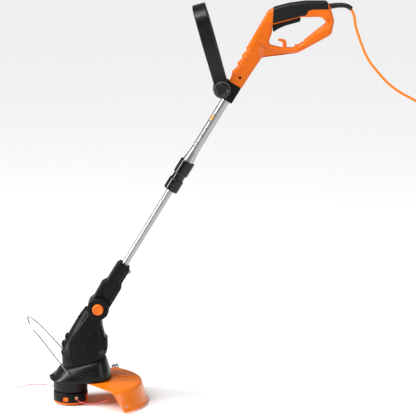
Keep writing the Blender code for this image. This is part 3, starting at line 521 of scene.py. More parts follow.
LINE = material("trimmer_line", "red_line_nylon", (0.52, 0.035, 0.075), 0.30, grain=1500, depth=0.00003,
                mottle=0.15, coat=0.2)
CORD = material("cord_sheath", "orange_cord", (0.82, 0.190, 0.004), 0.40, grain=1300, depth=0.00006,
                mottle=0.06, specular=0.3)
DARK_PRINT = material("dark_print", "aluminium", (0.012, 0.012, 0.013), 0.5, grain=3000, depth=0.00001,
                      mottle=0.2)
ORANGE_PRINT = material("orange_print", "aluminium", (0.85, 0.26, 0.01), 0.45, grain=3000, depth=0.00001,
                        mottle=0.1)


# ---- mains lead ---------------------------------------------------------------------------
CORD_R = 3.5
ROUTE = ((123, 0, 5.5), (127.8, 0, -2.5), (131.5, 0, -8), (135.5, 0, -20), (139, 0, -44), (146, 0, -67),
         (155, 0, -92), (167, 0, -121), (183, 0, -147), (204, 0, -172), (226, 0, -196),
         (246, 0, -212), (262, 0, -223), (303, -3, -245), (342, -12, -270), (374, -28, -310),
         (392, -50, -370), (400, -80, -460), (402, -115, -580), (401, -150, -720),
         (398, -178, -860), (392, -192, -970), (385, -176, -1043), (380, -134, -1072),
         (378, -84, -1073.9), (378.4, -60, -1073.8), (380.2, -26, -1073.8))
COIL_CENTRE = (455, 0)
COIL_MID_R = 63
COIL_HALF = 17.5
COIL_BOTTOM = FLOOR_Z + 2.6
COIL_TURNS = 20 + 130 / 360
STEP_OVER = 0.82       # the share of a turn after which the lead moves to the next seat


def coil_seats():
    """Where each turn lies in the coil's section: nested rows, wound back and forth."""
    pitch = 2 * CORD_R + 0.15
    seats = []
    for level, count in enumerate((4, 5, 4, 5, 3)):
        z = COIL_BOTTOM + CORD_R + 0.1 + level * pitch * 0.866
        row = [(COIL_MID_R + ((count - 1) / 2 - k) * pitch, z) for k in range(count)]
        seats.extend(row if level % 2 == 0 else row[::-1])
    return seats


def lead_path():
    """The mains lead's whole centreline: hanging run, coil, then the tail into the plug."""
    seats = coil_seats()
    x, y = COIL_CENTRE
    run = smooth_path(ROUTE, 12)
    per_turn = 40
    wind = []
    for step in range(int(COIL_TURNS * per_turn) + 1):
        turn = step / per_turn
        index = int(turn)
        radius, z = seats[index]
        ahead = seats[min(index + 1, len(seats) - 1)]
        shift = max(0.0, (turn - index - STEP_OVER) / 0.18)
        shift = shift * shift * (3 - 2 * shift)
        radius += (ahead[0] - radius) * shift
        z += (ahead[1] - z) * shift
        angle = pi - 2 * pi * turn
        wind.append(Vector((x + radius * cos(angle), y + radius * sin(angle), z)))
    tail = [wind[-1]]
    for degrees, radius, z in ((36, 73, -1045.5), (18, 81.5, -1048), (4, 86, -1055)):
        tail.append(Vector((x + radius * cos(radians(degrees)), y + radius * sin(radians(degrees)), z)))
    tail += [Vector((540, -12, -1061)), Vector((535.5, -27, -1065)), Vector((532.5, -40, -1066)),
             Vector((532, -46, -1066))]
    return run + wind + smooth_path(tail, 8)[1:]


def lead_parts():
    """The mains lead and the pieces that belong to it."""
    path = lead_path()
    lead = piece(pipe("mains_lead", path, CORD_R, sides=14), CORD, "handle", "power_cord", "cord_coil",
                 weighted=False)
    plug_parts() + [relief_part(), tie_part()]


def relief_part():
    """A tapered bend protector with moulded rings near its thin end."""
    centre = smooth_path(((58, 0, 8), (72, 0, 8.6), (86, 0, 10.4), (100, 0, 11.2), (112, 0, 9.8),
                          (121, 0, 6.2), (127.3, 0, 1.2)), 0.75)
    last = len(centre) - 1
    radii = []
    for step in range(last + 1):
        share = step / last
        radius = 7.6 - 1.2 * share
        if 0.42 < share < 0.97:
            wave = cos(2 * pi * (share - 0.42) / 0.055)
            radius -= 0.55 * (1 if wave > 0.2 else 0)
        radii.append(radius)
    radii[0] -= 0.6
    radii[-1] -= 0.6
    return piece(pipe("bend_protector", centre, radii, sides=36), GLOSS, "handle", "strain_relief",
                 slot="black_plastic", weighted=False)


def tie_part():
    """A soft strap round the coil, with its buckle on top."""
    angle = radians(60)
    x = COIL_CENTRE[0] + COIL_MID_R * cos(angle)
    y = COIL_CENTRE[1] + COIL_MID_R * sin(angle)
    here = place(x, y, COIL_BOTTOM + COIL_HALF, 0, angle, 0) @ Matrix.Rotation(pi / 2, 4, "X")
    strap = turned("tie_strap", ((19.9, 5, 0.5), (19.9, -5, 0.5), (18.6, -5, 0.5), (18.6, 5, 0.5)), here)
    buckle = box("tie_buckle", (9, 3.2, 12), here @ place(0, 19.4, 0), 0.9)
    hole = box("tie_buckle_hole", (5.4, 8, 1.6), here @ place(0, 20, 3.2), 0.3)
    combine(strap, [buckle], "UNION")
    combine(strap, [hole])
    return piece(strap, RUBBER, "handle", "cord_tie", slot="black_plastic")


def plug_parts():
    """A moulded two-pin plug: oval nose, waisted grip with ribs, ringed tail."""
    x, y, z = 532, -102, FLOOR_Z + 14
    profile = [(0, 0, 0), (15, 0, 2.5), (17.5, -3.5, 3), (17.5, -13, 4), (13.8, -30, 14), (9, -38, 8)]
    for ring in range(5):
        at = -41 - 4.2 * ring
        size = 7.4 - 0.45 * ring
        profile += [(size, at, 0.4), (size, at - 2.4, 0.4), (size - 1.2, at - 2.7, 0.3),
                    (size - 1.2, at - 4.0, 0.3)]
    profile.append((0, -61.8, 0))
    here = place(x, y, z, 0, 0, pi / 2)
    body = turned("plug_moulding", profile, here @ Matrix.Diagonal((1.0, 0.78, 1.0, 1.0)))
    combine(body, [box(f"plug_groove_{k}_{side}", (13, 1.4, 1.5),
                       here @ place(0, side * (12.6 - 0.55 * k), -11 - 4.2 * k), 0.4)
                   for k in range(4) for side in (-1, 1)])
    parts = [piece(body, CORD, "handle", "plug_body")]
    for n, offset in ((1, -9.5), (2, 9.5)):
        seat = here @ place(offset * 0.9, 0, 0)
        pin = turned(f"plug_contact_{n}", ((0, 19, 0), (2.4, 19, 1.7), (2.4, 0.3, 0), (0, 0.3, 0)), seat,
                     sides=40)
        parts.append(piece(pin, BRASS, "handle", f"plug_pin_{n}"))
        sleeve = turned(f"plug_contact_sleeve_{n}",
                        ((2.75, 10, 0.3), (2.75, 0.2, 0), (2.4, 0.2, 0), (2.4, 10, 0)), seat, sides=40)
        parts.append(piece(sleeve, SATIN, "handle"))
    return parts


# ---- shared detail helpers ----------------------------------------------------------------
def cylinder(name, radius, low, high, matrix=None, fillet=0.0, sides=72):
    """A round bar about local Z between two heights."""
    corners = ((0, high, 0), (radius, high, fillet), (radius, low, fillet), (0, low, 0))
    return turned(name, corners, matrix, sides)


def across_bar(name, radius, x, z, y_from, y_to, matrix=None, fillet=0.0, sides=72):
    """A round bar along Y through (x, z)."""
    here = (matrix or Matrix()) @ place(x, 0, z) @ Y_AXIS
    return cylinder(name, radius, -y_to, -y_from, here, fillet, sides)


def place_bar(name, radius, start, end):
    """A round bar between two points."""
    return pipe(name, (start, end), radius, sides=64)


def onto(item, spots, sink, side):
    """Points on one flank of a moulding at these (x, z), sunk below its surface."""
    tree = BVHTree.FromObject(item, bpy.context.evaluated_depsgraph_get())
    points = []
    for x, z in spots:
        hit, normal = tree.ray_cast(Vector((x, side * 120, z)) * MM, Vector((0, -side, 0)))[:2]
        if hit is not None:
            points.append((hit - normal * sink * MM) / MM)
    return points


def push_in(item, depth_at):
    """Move both flanks towards the middle plane by depth_at(x, z), fading out 12 to 6 mm off it."""
    for vertex in item.data.vertices:
        x, y, z = vertex.co / MM
        share = min(1.0, max(0.0, (abs(y) - 6.0) / 6.0))
        if share:
            vertex.co.y -= (1 if y > 0 else -1) * depth_at(x, z) * share * MM
    return item


def cross_recess(name, deep, matrix):
    """Two crossed bars that cut a screw head's recess."""
    return [box(f"{name}_slot_{n}", size, matrix, 0.1)
            for n, size in enumerate(((3.6, 0.8, deep), (0.8, 3.6, deep)))]


def screw_part(name, x, z, head_y, tip_y, body, matrix=None, paint=STEEL):
    """A pan-head screw along Y with a cross recess and a threaded shank."""
    length = abs(head_y - tip_y)
    way = 1 if head_y > tip_y else -1
    here = (matrix or Matrix()) @ place(x, tip_y, z, 0, 0, -way * pi / 2)
    profile = [(0, length, 0), (2.5, length, 0.7), (3.3, length - 1.0, 0.5), (3.3, length - 2.2, 0.2),
               (1.5, length - 2.2, 0)]
    for k in range(int((length - 5) / 1.3)):
        top = length - 3.2 - 1.3 * k
        profile += [(1.1, top, 0), (1.5, top - 0.5, 0), (1.5, top - 0.75, 0)]
    profile += [(1.1, 1.4, 0), (0, 0, 0)]
    item = turned(name + "_piece", profile, here, 32, 3)
    combine(item, cross_recess(name, 1.9, here @ place(0, 0, length - 0.4)))
    return piece(item, paint, body, name)


# ---- rear handle --------------------------------------------------------------------------
HANDLE_HALF = 17.0
HANDLE_OUTER = ((-203, -204, 0), (-196.5, -192, 4), (-192.5, -183, 9), (-188, -171, 9), (-181, -158.4, 6),
                (-176, -155.4, 3), (-172.2, -147, 7), (-170.2, -138.4, 6), (-163.6, -132.4, 3),
                (-160.6, -126, 7), (-158.6, -118.2, 6), (-150.2, -109.6, 3), (-148, -104, 6),
                (-147.2, -97, 10), (-93, -3, 18), (-76, 7, 24), (-38, 17, 70), (6, 23, 90),
                (62, 23, 11), (71, 8, 14), (82, -29, 26), (75, -66, 16), (-14, -115, 26),
                (-66, -122, 60), (-109, -127, 14), (-140, -173, 20), (-171, -223, 0))
HANDLE_OPENING = ((-81, -40, 2), (-7, -20, 12), (47, -19, 12), (62, -34, 6), (4, -80, 3), (1, -85.5, 3),
                  (-6, -89, 3), (-17, -95, 3), (-19.5, -92.6, 1.5), (-22, -96, 3), (-24, -101, 8),
                  (-57, -101, 30), (-88, -94, 8), (-91, -84, 8), (-83, -62, 10))
PAD_REGION = ((-78, 30, 0), (-81.5, -36, 0), (-7, -16.6, 8), (7, -14, 7), (13, -2, 7), (24, 1, 4),
              (67, 2, 0), (61, 30, 0))
HOOK = ((-44, -106, 0), (-44, -85, 8), (-51, -78, 6), (-67, -77, 2.2), (-67, -82.5, 2.2),
        (-54.5, -86, 4), (-54, -106, 0))
TRIGGER_BAY = ((-89, -64, 0), (-89, -13, 4), (-20, -8, 4), (-3, -14, 4), (-3, -40, 0), (-66, -64, 0))
TRIGGER = ((-81, -41, 2), (-81, -61, 3), (-66, -51, 20), (-48, -43, 20), (-9, -32, 3),
           (-6.5, -24, 3), (-9, -19.4, 3), (-20, -22, 4))
TRIGGER_PIVOT = (-12, -23)
HANDLE_SCREWS = ((-100, -38), (71, -29), (-32, -108))
NECK_SCREW_AT = 738
FINGER_LOBES = ((-139.5, -106.4), (-151.1, -127.0), (-162.7, -147.4), (-177.2, -170.8))
BAR_CREASE = ((-118, -80), (-100.4, -92.5), (-83.4, -99), (-45.3, -106), (-14, -106.5), (8, -98))


def handle_blank(name, inset=0.0):
    """The rear handle's outline as a slab, shrunk all round by the inset."""
    return slab(name, (rounded(HANDLE_OUTER, 8), rounded(HANDLE_OPENING, 6)), HANDLE_HALF - inset, SIDE,
                bevel=9, steps=6, inset=inset)


def flank_depth(x, z):
    """The lower bar's slanted lower facet, and the rebate along its rear inner edge."""
    depth = 0.0
    for (x0, z0), (x1, z1) in zip(BAR_CREASE, BAR_CREASE[1:]):
        if x0 <= x < x1:
            below = z0 + (z1 - z0) * (x - x0) / (x1 - x0) - z
            ends = min(1.0, (x - BAR_CREASE[0][0]) / 14, (BAR_CREASE[-1][0] - x) / 26)
            depth = min(9.0, 0.75 * max(0.0, below)) * ends
    out = (x - 62) * 0.623 - (z + 34) * 0.782
    wide = 10.0 * min(1.0, max(0.0, (x + 2) / 60))
    if -8 < out < wide and -2 < x < 72 and z < -24:
        depth = max(depth, 4.5 * min(1.0, (wide - out) / 1.5))
    return depth


def handle_parts():
    """Rear handle shells, grip pads, screws and trigger."""
    whole = handle_blank("handle_moulding")
    lobes = [ball(f"finger_lobe_{n}", (12.6, 20.2, 8.8), place(x, 0, z, LEAN))
             for n, (x, z) in enumerate(FINGER_LOBES)]
    hook = slab("hook_arm", (rounded(HOOK, 6),), 4.3, place(0, -5.6, 0) @ SIDE, bevel=2.2, steps=4)
    gathered(whole, lobes + [hook])
    soften(whole, 1.1, 5)
    push_in(whole, flank_depth)
    relax(whole, 2)
    pad_seat = slab("pad_seat", (rounded(PAD_REGION, 6),), 40, SIDE, inset=-0.3)
    combine(pad_seat, [handle_blank("pad_seat_core", 2.8)])
    cutters = [
        pad_seat,
        cylinder("tube_room", TUBE_ROOM_R, 682, 802, SHAFT),
        slab("trigger_room", (rounded(TRIGGER_BAY),), 8.6, SIDE),
        place_bar("relief_room", 7.9, (53, 0, 8), (87, 0, 8)),
        box("neck_end", (90, 60, 60), SHAFT @ place(0, 0, 685.7)),
        across_bar("neck_screw_room", 4.0, 0, NECK_SCREW_AT, -40, -13.2, SHAFT, sides=48),
        across_bar("neck_screw_hole", 2.3, 0, NECK_SCREW_AT, -40, 14, SHAFT, sides=32),
    ]
    for n, (x, z) in enumerate(HANDLE_SCREWS):
        cutters.append(across_bar(f"screw_sink_{n}", SCREW_SINK_R, x, z, 10.7, 40, sides=40))
        cutters.append(across_bar(f"screw_hole_{n}", SCREW_HOLE_R, x, z, -9, 40, sides=24))
    combine(whole, cutters)
    halves(whole, "handle_moulding", ORANGE, "handle", "handle_shell", 38)

    pad = slab("pad_region", (rounded(PAD_REGION, 6),), 40, SIDE)
    combine(pad, [handle_blank("pad_skin", -0.35)], "INTERSECT")
    combine(pad, [handle_blank("pad_core", 2.5), place_bar("pad_relief", 8.2, (40, 0, 8), (87, 0, 8))])
    soften(pad, 0.8, 2)
    halves(pad, "grip_cover", RUBBER, "handle", "grip_pad")

    for n, (x, z) in enumerate(HANDLE_SCREWS, 1):
        screw_part(f"handle_screw_{n}", x, z, 14, -8, "handle")
    screw_part("neck_screw", 0, NECK_SCREW_AT, -16, 13, "handle", SHAFT, DARK_STEEL)

    lever = slab("trigger_lever", (rounded(TRIGGER, 8),), 7.8, SIDE, bevel=2.2, steps=5)
    x, z = TRIGGER_PIVOT
    combine(lever, [across_bar("trigger_stub", 2.0, x, z, -12, 12, fillet=0.4, sides=32)], "UNION")
    combine(lever, [cylinder("spring_room", 3.4, -4, 4, place(-70, 0, -35), sides=40)])
    piece(lever, SATIN, "trigger", "trigger")


# ---- shaft --------------------------------------------------------------------------------
UPPER_TUBE = (475, 800)
LOWER_TUBE = (34, 545)
SCALE_MARKS = (513, 617)


def tube_parts():
    """Both tubes, the sleeve between them and the twist ring below it."""
    low, high = UPPER_TUBE
    outer = [(12, high, 0.4), (12, low + 29, 30), (12.9, low + 21, 20), (15.2, low + 3, 14),
             (15.8, low - 2, 5), (15.8, low - 6, 0.4)]
    inner = [(14.6, low - 6, 0.3), (14.6, low - 2, 5), (14.0, low + 3, 14), (11.7, low + 21, 20),
             (10.8, low + 29, 30), (10.8, high, 0.3)]
    piece(turned("upper_tube_skin", outer + inner, SHAFT, 128, 6), ALUMINIUM, "handle", "upper_tube")
    low, high = LOWER_TUBE
    tube = ((9, high, 0.4), (9, low, 0.4), (7.8, low, 0.2), (7.8, high, 0.2))
    piece(turned("lower_tube_skin", tube, SHAFT, 112), ALUMINIUM, "lower_shaft", "lower_tube")
    scale_marks()
    sleeve = ((19.6, 471.4, 0.8), (20.5, 469.6, 0.8), (20.5, 432.4, 2.2), (18.9, 430, 0.8),
              (17.1, 428.5, 1.5), (17.1, 424.4, 0.3), (16.5, 424, 0.3), (16.5, 421, 0.3),
              (17.1, 420.6, 0.3), (17.1, 414, 0.5), (9.6, 414, 0.2), (9.6, 467.5, 0.2),
              (16.1, 467.5, 0.3), (16.1, 471.4, 0.4))
    piece(turned("sleeve_moulding", sleeve, SHAFT, 112), GLOSS, "handle", "tube_sleeve")
    ring = turned("twist_ring_moulding",
                  ((19.4, 413.4, 1.2), (20.4, 411.6, 1.0), (20.4, 381.4, 1.0), (19.4, 379, 1.2),
                   (9.6, 379, 0.4), (9.6, 391, 0), (14.4, 391, 0), (14.4, 413.4, 0.3)), SHAFT, 112)
    grooves = []
    for n in range(24):
        if n % 8 < 5:                          # three groups of five
            angle = 2 * pi * n / 24
            spot = place(20.6 * cos(angle), 20.6 * sin(angle), 396.5, 0, angle)
            grooves.append(box(f"ring_groove_{n}", (1.6, 1.7, 24), SHAFT @ spot, 0.5))
    combine(ring, grooves)
    piece(ring, GLOSS, "twist_ring", "twist_ring")


def printed(name, paint, patches):
    """Thin raised ink patches (from, to along the shaft, two angles in degrees)."""
    bm = bmesh.new()
    for start, end, first, last in patches:
        steps = max(2, int((last - first) / 4))
        angles = [radians(first + (last - first) * k / steps) for k in range(steps + 1)]
        inner_low, inner_high, outer_low, outer_high = [
            [bm.verts.new((radius * MM * cos(angle), radius * MM * sin(angle), z * MM)) for angle in angles]
            for radius in (12.02, 12.09) for z in (start, end)]
        for a, b in ((inner_low, inner_high), (outer_high, outer_low), (inner_high, outer_high),
                     (outer_low, inner_low)):
            for k in range(steps):
                bm.faces.new((a[k], a[k + 1], b[k + 1], b[k]))
        for k in (0, -1):
            bm.faces.new([row[k] for row in (inner_low, inner_high, outer_high, outer_low)])
    item = from_bmesh(name, bm, SHAFT)
    return piece(item, paint, "handle", weighted=False)


def scale_marks():
    """A plain length scale: coloured end blocks and dark ticks."""
    low, high = SCALE_MARKS
    ticks = []
    count = 13
    for n in range(count):
        at = low + 14 + (high - low - 36) * n / (count - 1)
        ticks.append((at, at + 2.6, 213, 246 if n % 4 == 0 else 231))
    ticks += [(high - 2.5, high, 212, 248), (low, low + 2.5, 212, 248), (low + 6.5, low + 8.5, 218, 240)]
    printed("scale_ticks", DARK_PRINT, ticks)
    blocks = ((high - 17, high - 3.5, 214, 246), (low + 3.3, low + 10.5, 212, 217))
    printed("scale_blocks", ORANGE_PRINT, blocks)


def bracket_and_aux():
    """The bracket on the upper tube, and the second handle that swings on it."""
    low, top = 666, 715.4
    outline = ((17.5, low, 3), (17.5, top, 3), (-27, top, 4), (-27, low, 6))
    block = slab("bracket_moulding", (rounded(outline),), 19, SHAFT @ SIDE, bevel=3, steps=5)
    pivot = SHAFT.inverted() @ (Vector(AUX_PIVOT) * MM) / MM
    boss = across_bar("bracket_boss", 24.5, pivot.x, pivot.z, -19.4, 19.4, SHAFT, fillet=1.2, sides=96)
    gathered(block, [boss])
    soften(block, 1.0, 2)
    bolt_room = across_bar("bolt_room", 4.4, pivot.x, pivot.z, -30, 30, SHAFT)
    combine(block, [cylinder("tube_room", TUBE_ROOM_R, low - 20, top + 20, SHAFT), bolt_room])
    piece(block, BLACK, "handle", "aux_bracket", sharp=50)

    half_band, reach, wide = 18, 232, 62
    outer = [(33.5, -14, 0), (33.5, 40, 60), (wide, 120, 90), (wide, reach, 52)]
    inner = [(wide - 16, reach - 17, 36), (wide - 14, 122, 90), (20.2, 44, 60), (20.2, -14, 0)]
    outline = outer + [(-x, y, r) for x, y, r in reversed(outer)]
    outline += [(-x, y, r) for x, y, r in reversed(inner)] + inner
    stand = AUX @ Matrix.Rotation(pi / 2, 4, "Z") @ SIDE
    arch = slab("aux_arch", (rounded(outline, 14),), half_band, stand, bevel=3.5, steps=5)
    hubs = [across_bar("aux_hub_" + name, 24, 0, 0, *sorted((sign * 19.8, sign * 33.6)), AUX, fillet=1.6,
                       sides=112) for name, sign in (("near", -1), ("far", 1))]
    combine(arch, hubs, "UNION")
    wells = [across_bar("button_room", 18.5, 0, 0, -50, -27, AUX, sides=96),
             across_bar("bolt_bore", 4.4, 0, 0, -60, 60, AUX),
             across_bar("head_room", 9.5, 0, 0, 29, 50, AUX, sides=64)]
    combine(arch, wells)
    piece(arch, SATIN, "aux_handle", "aux_handle")
    facing = AUX @ Y_AXIS
    bezel = turned("aux_bezel", ((18.6, 33.4, 0), (18.6, 34.6, 0.4), (20.8, 34.9, 0.5), (21.8, 33.4, 0)),
                   facing, 112)
    piece(bezel, GREY, "aux_handle")
    face = ((0, 38.2, 0), (13.2, 37.7, 1.5), (14.2, 38.6, 0.6), (15.6, 38.2, 0.8), (18, 35.2, 1.2),
            (18, 31.3, 0.3), (12, 31.3, 0.2), (12, 34.3, 0), (0, 34.3, 0))
    button = turned("aux_button_face", face, facing, 96)
    piece(button, GLOSS, "aux_lock_button", "aux_lock_button")
    away = AUX @ place(0, 0, 0, 0, 0, -pi / 2)
    bolt = turned("pivot_bolt", ((0, 33.1, 0), (8, 33.1, 1.2), (9, 31.3, 0.8), (9, 29.3, 0.2),
                                 (4, 29.3, 0.1), (4, -28.7, 0.5), (0, -28.7, 0)), away, 64)
    socket = turned("hex_socket", ((0, 36, 0), (3.6, 36, 0), (3.6, 30.4, 0), (0, 30.4, 0)), away, 6)
    combine(bolt, [socket])
    piece(bolt, STEEL, "aux_handle", "aux_pivot_bolt")


# ---- neck ---------------------------------------------------------------------------------
def neck_parts():
    """The neck shells on the lower tube, and the release button and cap at the tilt joint."""
    outline = ((15.5, 139, 2), (20, 131, 2), (20, 90, 4), (26, 79, 6), (26.5, 10, 0), (-26.5, 10, 0),
               (-28.5, 66, 8), (-20, 79, 8), (-20, 131, 3), (-15, 141, 2))
    whole = slab("neck_moulding", (rounded(outline, 8),), 21, SHAFT @ SIDE, bevel=5, steps=6)
    knuckle = across_bar("neck_knuckle", 28.5, 0, 0, -22, 22, SHAFT, fillet=1.0, sides=112)
    combine(whole, [knuckle], "UNION")
    panels = []
    upper = ((12.5, 131, 2), (13.5, 88, 3), (-12.5, 84, 3), (-13, 131, 2))
    lower = ((19.5, 72, 6), (20, 33, 3), (-13, 33, 3), (-21.5, 60, 5), (-16.5, 73, 6))
    for sign in (-1, 1):
        shift = SHAFT @ place(0, sign * 28.4, 0) @ SIDE
        for name, corners, half in (("upper", upper, 10), ("lower", lower, 10.2)):
            panels.append(slab(f"{name}_panel_{sign + 1}", (rounded(corners),), half, shift, bevel=0.7,
                               steps=2))
    combine(whole, panels)
    soften(whole, 1.0, 2)
    lines = [box(f"neck_line_{n}", (23 if n < 13 else 19, 60, 0.9), SHAFT @ place(0.2, 0, 90.5 + 2.9 * n))
             for n in range(14)]
    guard = box("line_stop", (60, 38.0, 90), SHAFT @ place(0, 0, 108))
    for line in lines[1:]:
        combine(lines[0], [line], "UNION")
    combine(lines[0], [guard])
    cutters = [lines[0], cylinder("tube_room", 9.3, 33.5, 160, SHAFT),
               across_bar("stem_room", 10.4, 0, 0, -40, 40, SHAFT),
               across_bar("clamp_hole", SCREW_HOLE_R, 14.5, 112, -10, 40, SHAFT, sides=24),
               across_bar("clamp_sink", SCREW_SINK_R, 14.5, 112, 12.7, 40, SHAFT, sides=40)]
    loop = [Vector((20.5 + 3.6 * cos(a), -6, 127.5 + 3.9 * sin(a)))
            for a in (radians(200 - 22 * k) for k in range(19))]
    combine(whole, [pipe("neck_lug", loop, 1.5, SHAFT, sides=16)], "UNION")
    combine(whole, cutters)
    halves(whole, "neck_moulding", BLACK, "lower_shaft", "neck_shell")
    screw_part("neck_clamp_screw", 14.5, 112, 16, -9, "lower_shaft", SHAFT)

    face = ((0, 42.9, 0), (9.6, 42.9, 1.0), (10.6, 44, 0.5), (12.6, 43.8, 0.8), (14.7, 41.6, 1.2),
            (15, 34, 0.2), (9.5, 34, 0.2), (9.5, 8, 0.3), (0, 8, 0))
    button = turned("release_button", face, HEAD @ Y_AXIS, 96)
    piece(button, ORANGE, "pivot_button", "pivot_button")
    cover = ((0, 37.2, 0), (9, 37.2, 0.4), (9.6, 38.3, 0.5), (13, 37.7, 1.5), (15, 35.4, 1),
             (15, 29.3, 0.2), (9.5, 29.3, 0.2), (9.5, 13.3, 0.3), (0, 13.3, 0))
    cap = turned("pivot_cover", cover, HEAD @ place(0, 0, 0, 0, 0, -pi / 2), 96)
    piece(cap, SATIN, "head", "pivot_cap")


# ---- motor head ---------------------------------------------------------------------------
HOUSING_RINGS = (((-588, -812), (-541, -845), 31), ((-604, -834), (-539, -866), 35),
                 ((-632, -881), (-530, -905), 42), ((-652, -921), (-528, -931), 46),
                 ((-652, -955), (-531, -942), 48), ((-652, -976), (-536, -949), 49))
HOUSING_CORE = (((-600, -838), (-545, -866), 30), ((-629, -884), (-534, -906), 38.5),
                ((-648.5, -922), (-532, -931), 42.5), ((-648.5, -955), (-535, -942), 44.5),
                ((-648.5, -996), (-540, -966), 45))
SHROUD_RINGS = (((-656, -977.6), (-533, -949.4), 51), ((-662, -982), (-529, -958), 58),
                ((-673, -996), (-522, -982), 68), ((-684, -1006), (-518, -1000), 71),
                ((-686, -1010), (-518, -1010), 71))
SHROUD_CORE = (((-650, -960), (-536, -930), 47), ((-659, -984), (-532, -960), 54),
               ((-669, -997), (-525, -984), 64.5), ((-679, -1006), (-521.5, -1003), 67.5))
SIDE_RIDGE = ((-574, -827), (-600, -862), (-625, -898), (-628.5, -918), (-627.5, -940), (-620, -966))
SIDE_PANEL = ((-549, -850, 6), (-567, -871, 20), (-582, -896, 24), (-587, -918, 20), (-579, -937, 12),
              (-552, -936, 8), (-538, -921, 8), (-538, -880, 20))
HOUSING_SCREWS = ((-640, -948), (-543, -930))
SPOOL_R = 47.0


def shrunk(rings, by):
    """A loft's rings, moved in all round."""
    return [((f[0] + by, f[1]), (r[0] - by, r[1]), half - by) for f, r, half in rings]


def housing_parts():
    """The motor housing's two shells."""
    whole = lofted("housing_moulding", HOUSING_RINGS, sides=96, levels_between=8)
    recess = slab("panel_recess", (rounded(SIDE_PANEL, 8),), 80, SIDE)
    combine(recess, [lofted("panel_core", shrunk(HOUSING_RINGS, 3.0), sides=96, levels_between=8)])
    ridges = []
    for side in (-1, 1):
        spine = smooth_path(onto(whole, smooth_spots(SIDE_RIDGE), 1.4, side), 2.5)
        ridges.append(pipe(f"ridge_{side + 1}", spine, 3.4, sides=16))
        for n, (x, z) in enumerate(((-553, -832), (-551, -838.5), (-549, -845))):
            rib = onto(whole, ((x, z), (x + 5, z - 1), (x + 9.5, z - 2.4)), -0.1, side)
            if len(rib) == 3:
                ridges.append(pipe(f"rib_{side + 1}_{n}", rib, 1.1, sides=12))
    bump = ((-541, -888, 3), (-527.5, -897, 6), (-526.3, -926, 6), (-541, -938, 4))
    rear = slab("rear_bump", (rounded(bump),), 27, SIDE, bevel=5)
    front = [ball(f"front_bump_{n}", (7, 32, tall), place(x, 0, z, radians(-18)))
             for n, (x, z, tall) in enumerate(((-637, -894, 7), (-646.5, -915, 8), (-648, -937, 8)))]
    ears = [across_bar(f"ear_{sign}", 30, 0, 0, *sorted((sign * 22.3, sign * 37)), HEAD, fillet=2.2,
                       sides=128) for sign in (-1, 1)]
    combine(whole, [recess])
    gathered(whole, ridges + front + [rear] + ears)
    soften(whole, 1.2, 2)
    posts = [across_bar(f"post_{n}", 6.2, x, z, -39, 39) for n, (x, z) in enumerate(HOUSING_SCREWS)]
    combine(whole, [lofted("housing_core", HOUSING_CORE, sides=64, levels_between=4)])
    combine(whole, posts, "UNION")
    cutters = [across_bar("saddle", 30.8, 0, 0, -22.3, 22.3, HEAD, sides=112),
               across_bar("stem_bore", 10, 0, 0, -60, 60, HEAD),
               across_bar("button_well", 15.5, 0, 0, -60, -29.7, HEAD, sides=96),
               across_bar("cap_well", 15.5, 0, 0, 29, 60, HEAD, sides=96)]
    cutters.append(turned("ear_step", ((24.5, 40, 0), (24.5, 35.2, 0.6), (17.5, 35.2, 0.5),
                                       (17.5, 34.2, 0.5), (15, 34.2, 0), (15, 40, 0)), HEAD @ Y_AXIS, 112))
    for n, (x, z) in enumerate(HOUSING_SCREWS):
        cutters.append(across_bar(f"housing_hole_{n}", SCREW_HOLE_R, x, z, -7, 60, sides=24))
        cutters.append(across_bar(f"housing_sink_{n}", SCREW_SINK_R, x, z, 20.7, 60, sides=40))
    for n in range(3):
        cutters.append(box(f"vent_{n}", (20, 48, 3.0),
                           place(-594.5 - 5.2 * n, 0, -820 - 8.2 * n, radians(-30)), 1.0))
    combine(whole, cutters)
    halves(whole, "housing_moulding", BLACK, "head", "motor_housing")
    for n, (x, z) in enumerate(HOUSING_SCREWS, 1):
        screw_part(f"housing_screw_{n}", x, z, 24, -6, "head")


def smooth_spots(spots):
    """Spots at 3 mm steps along a smooth line through these (x, z)."""
    return [(p.x, p.z) for p in smooth_path([(x, 0, z) for x, z in spots], 3)]


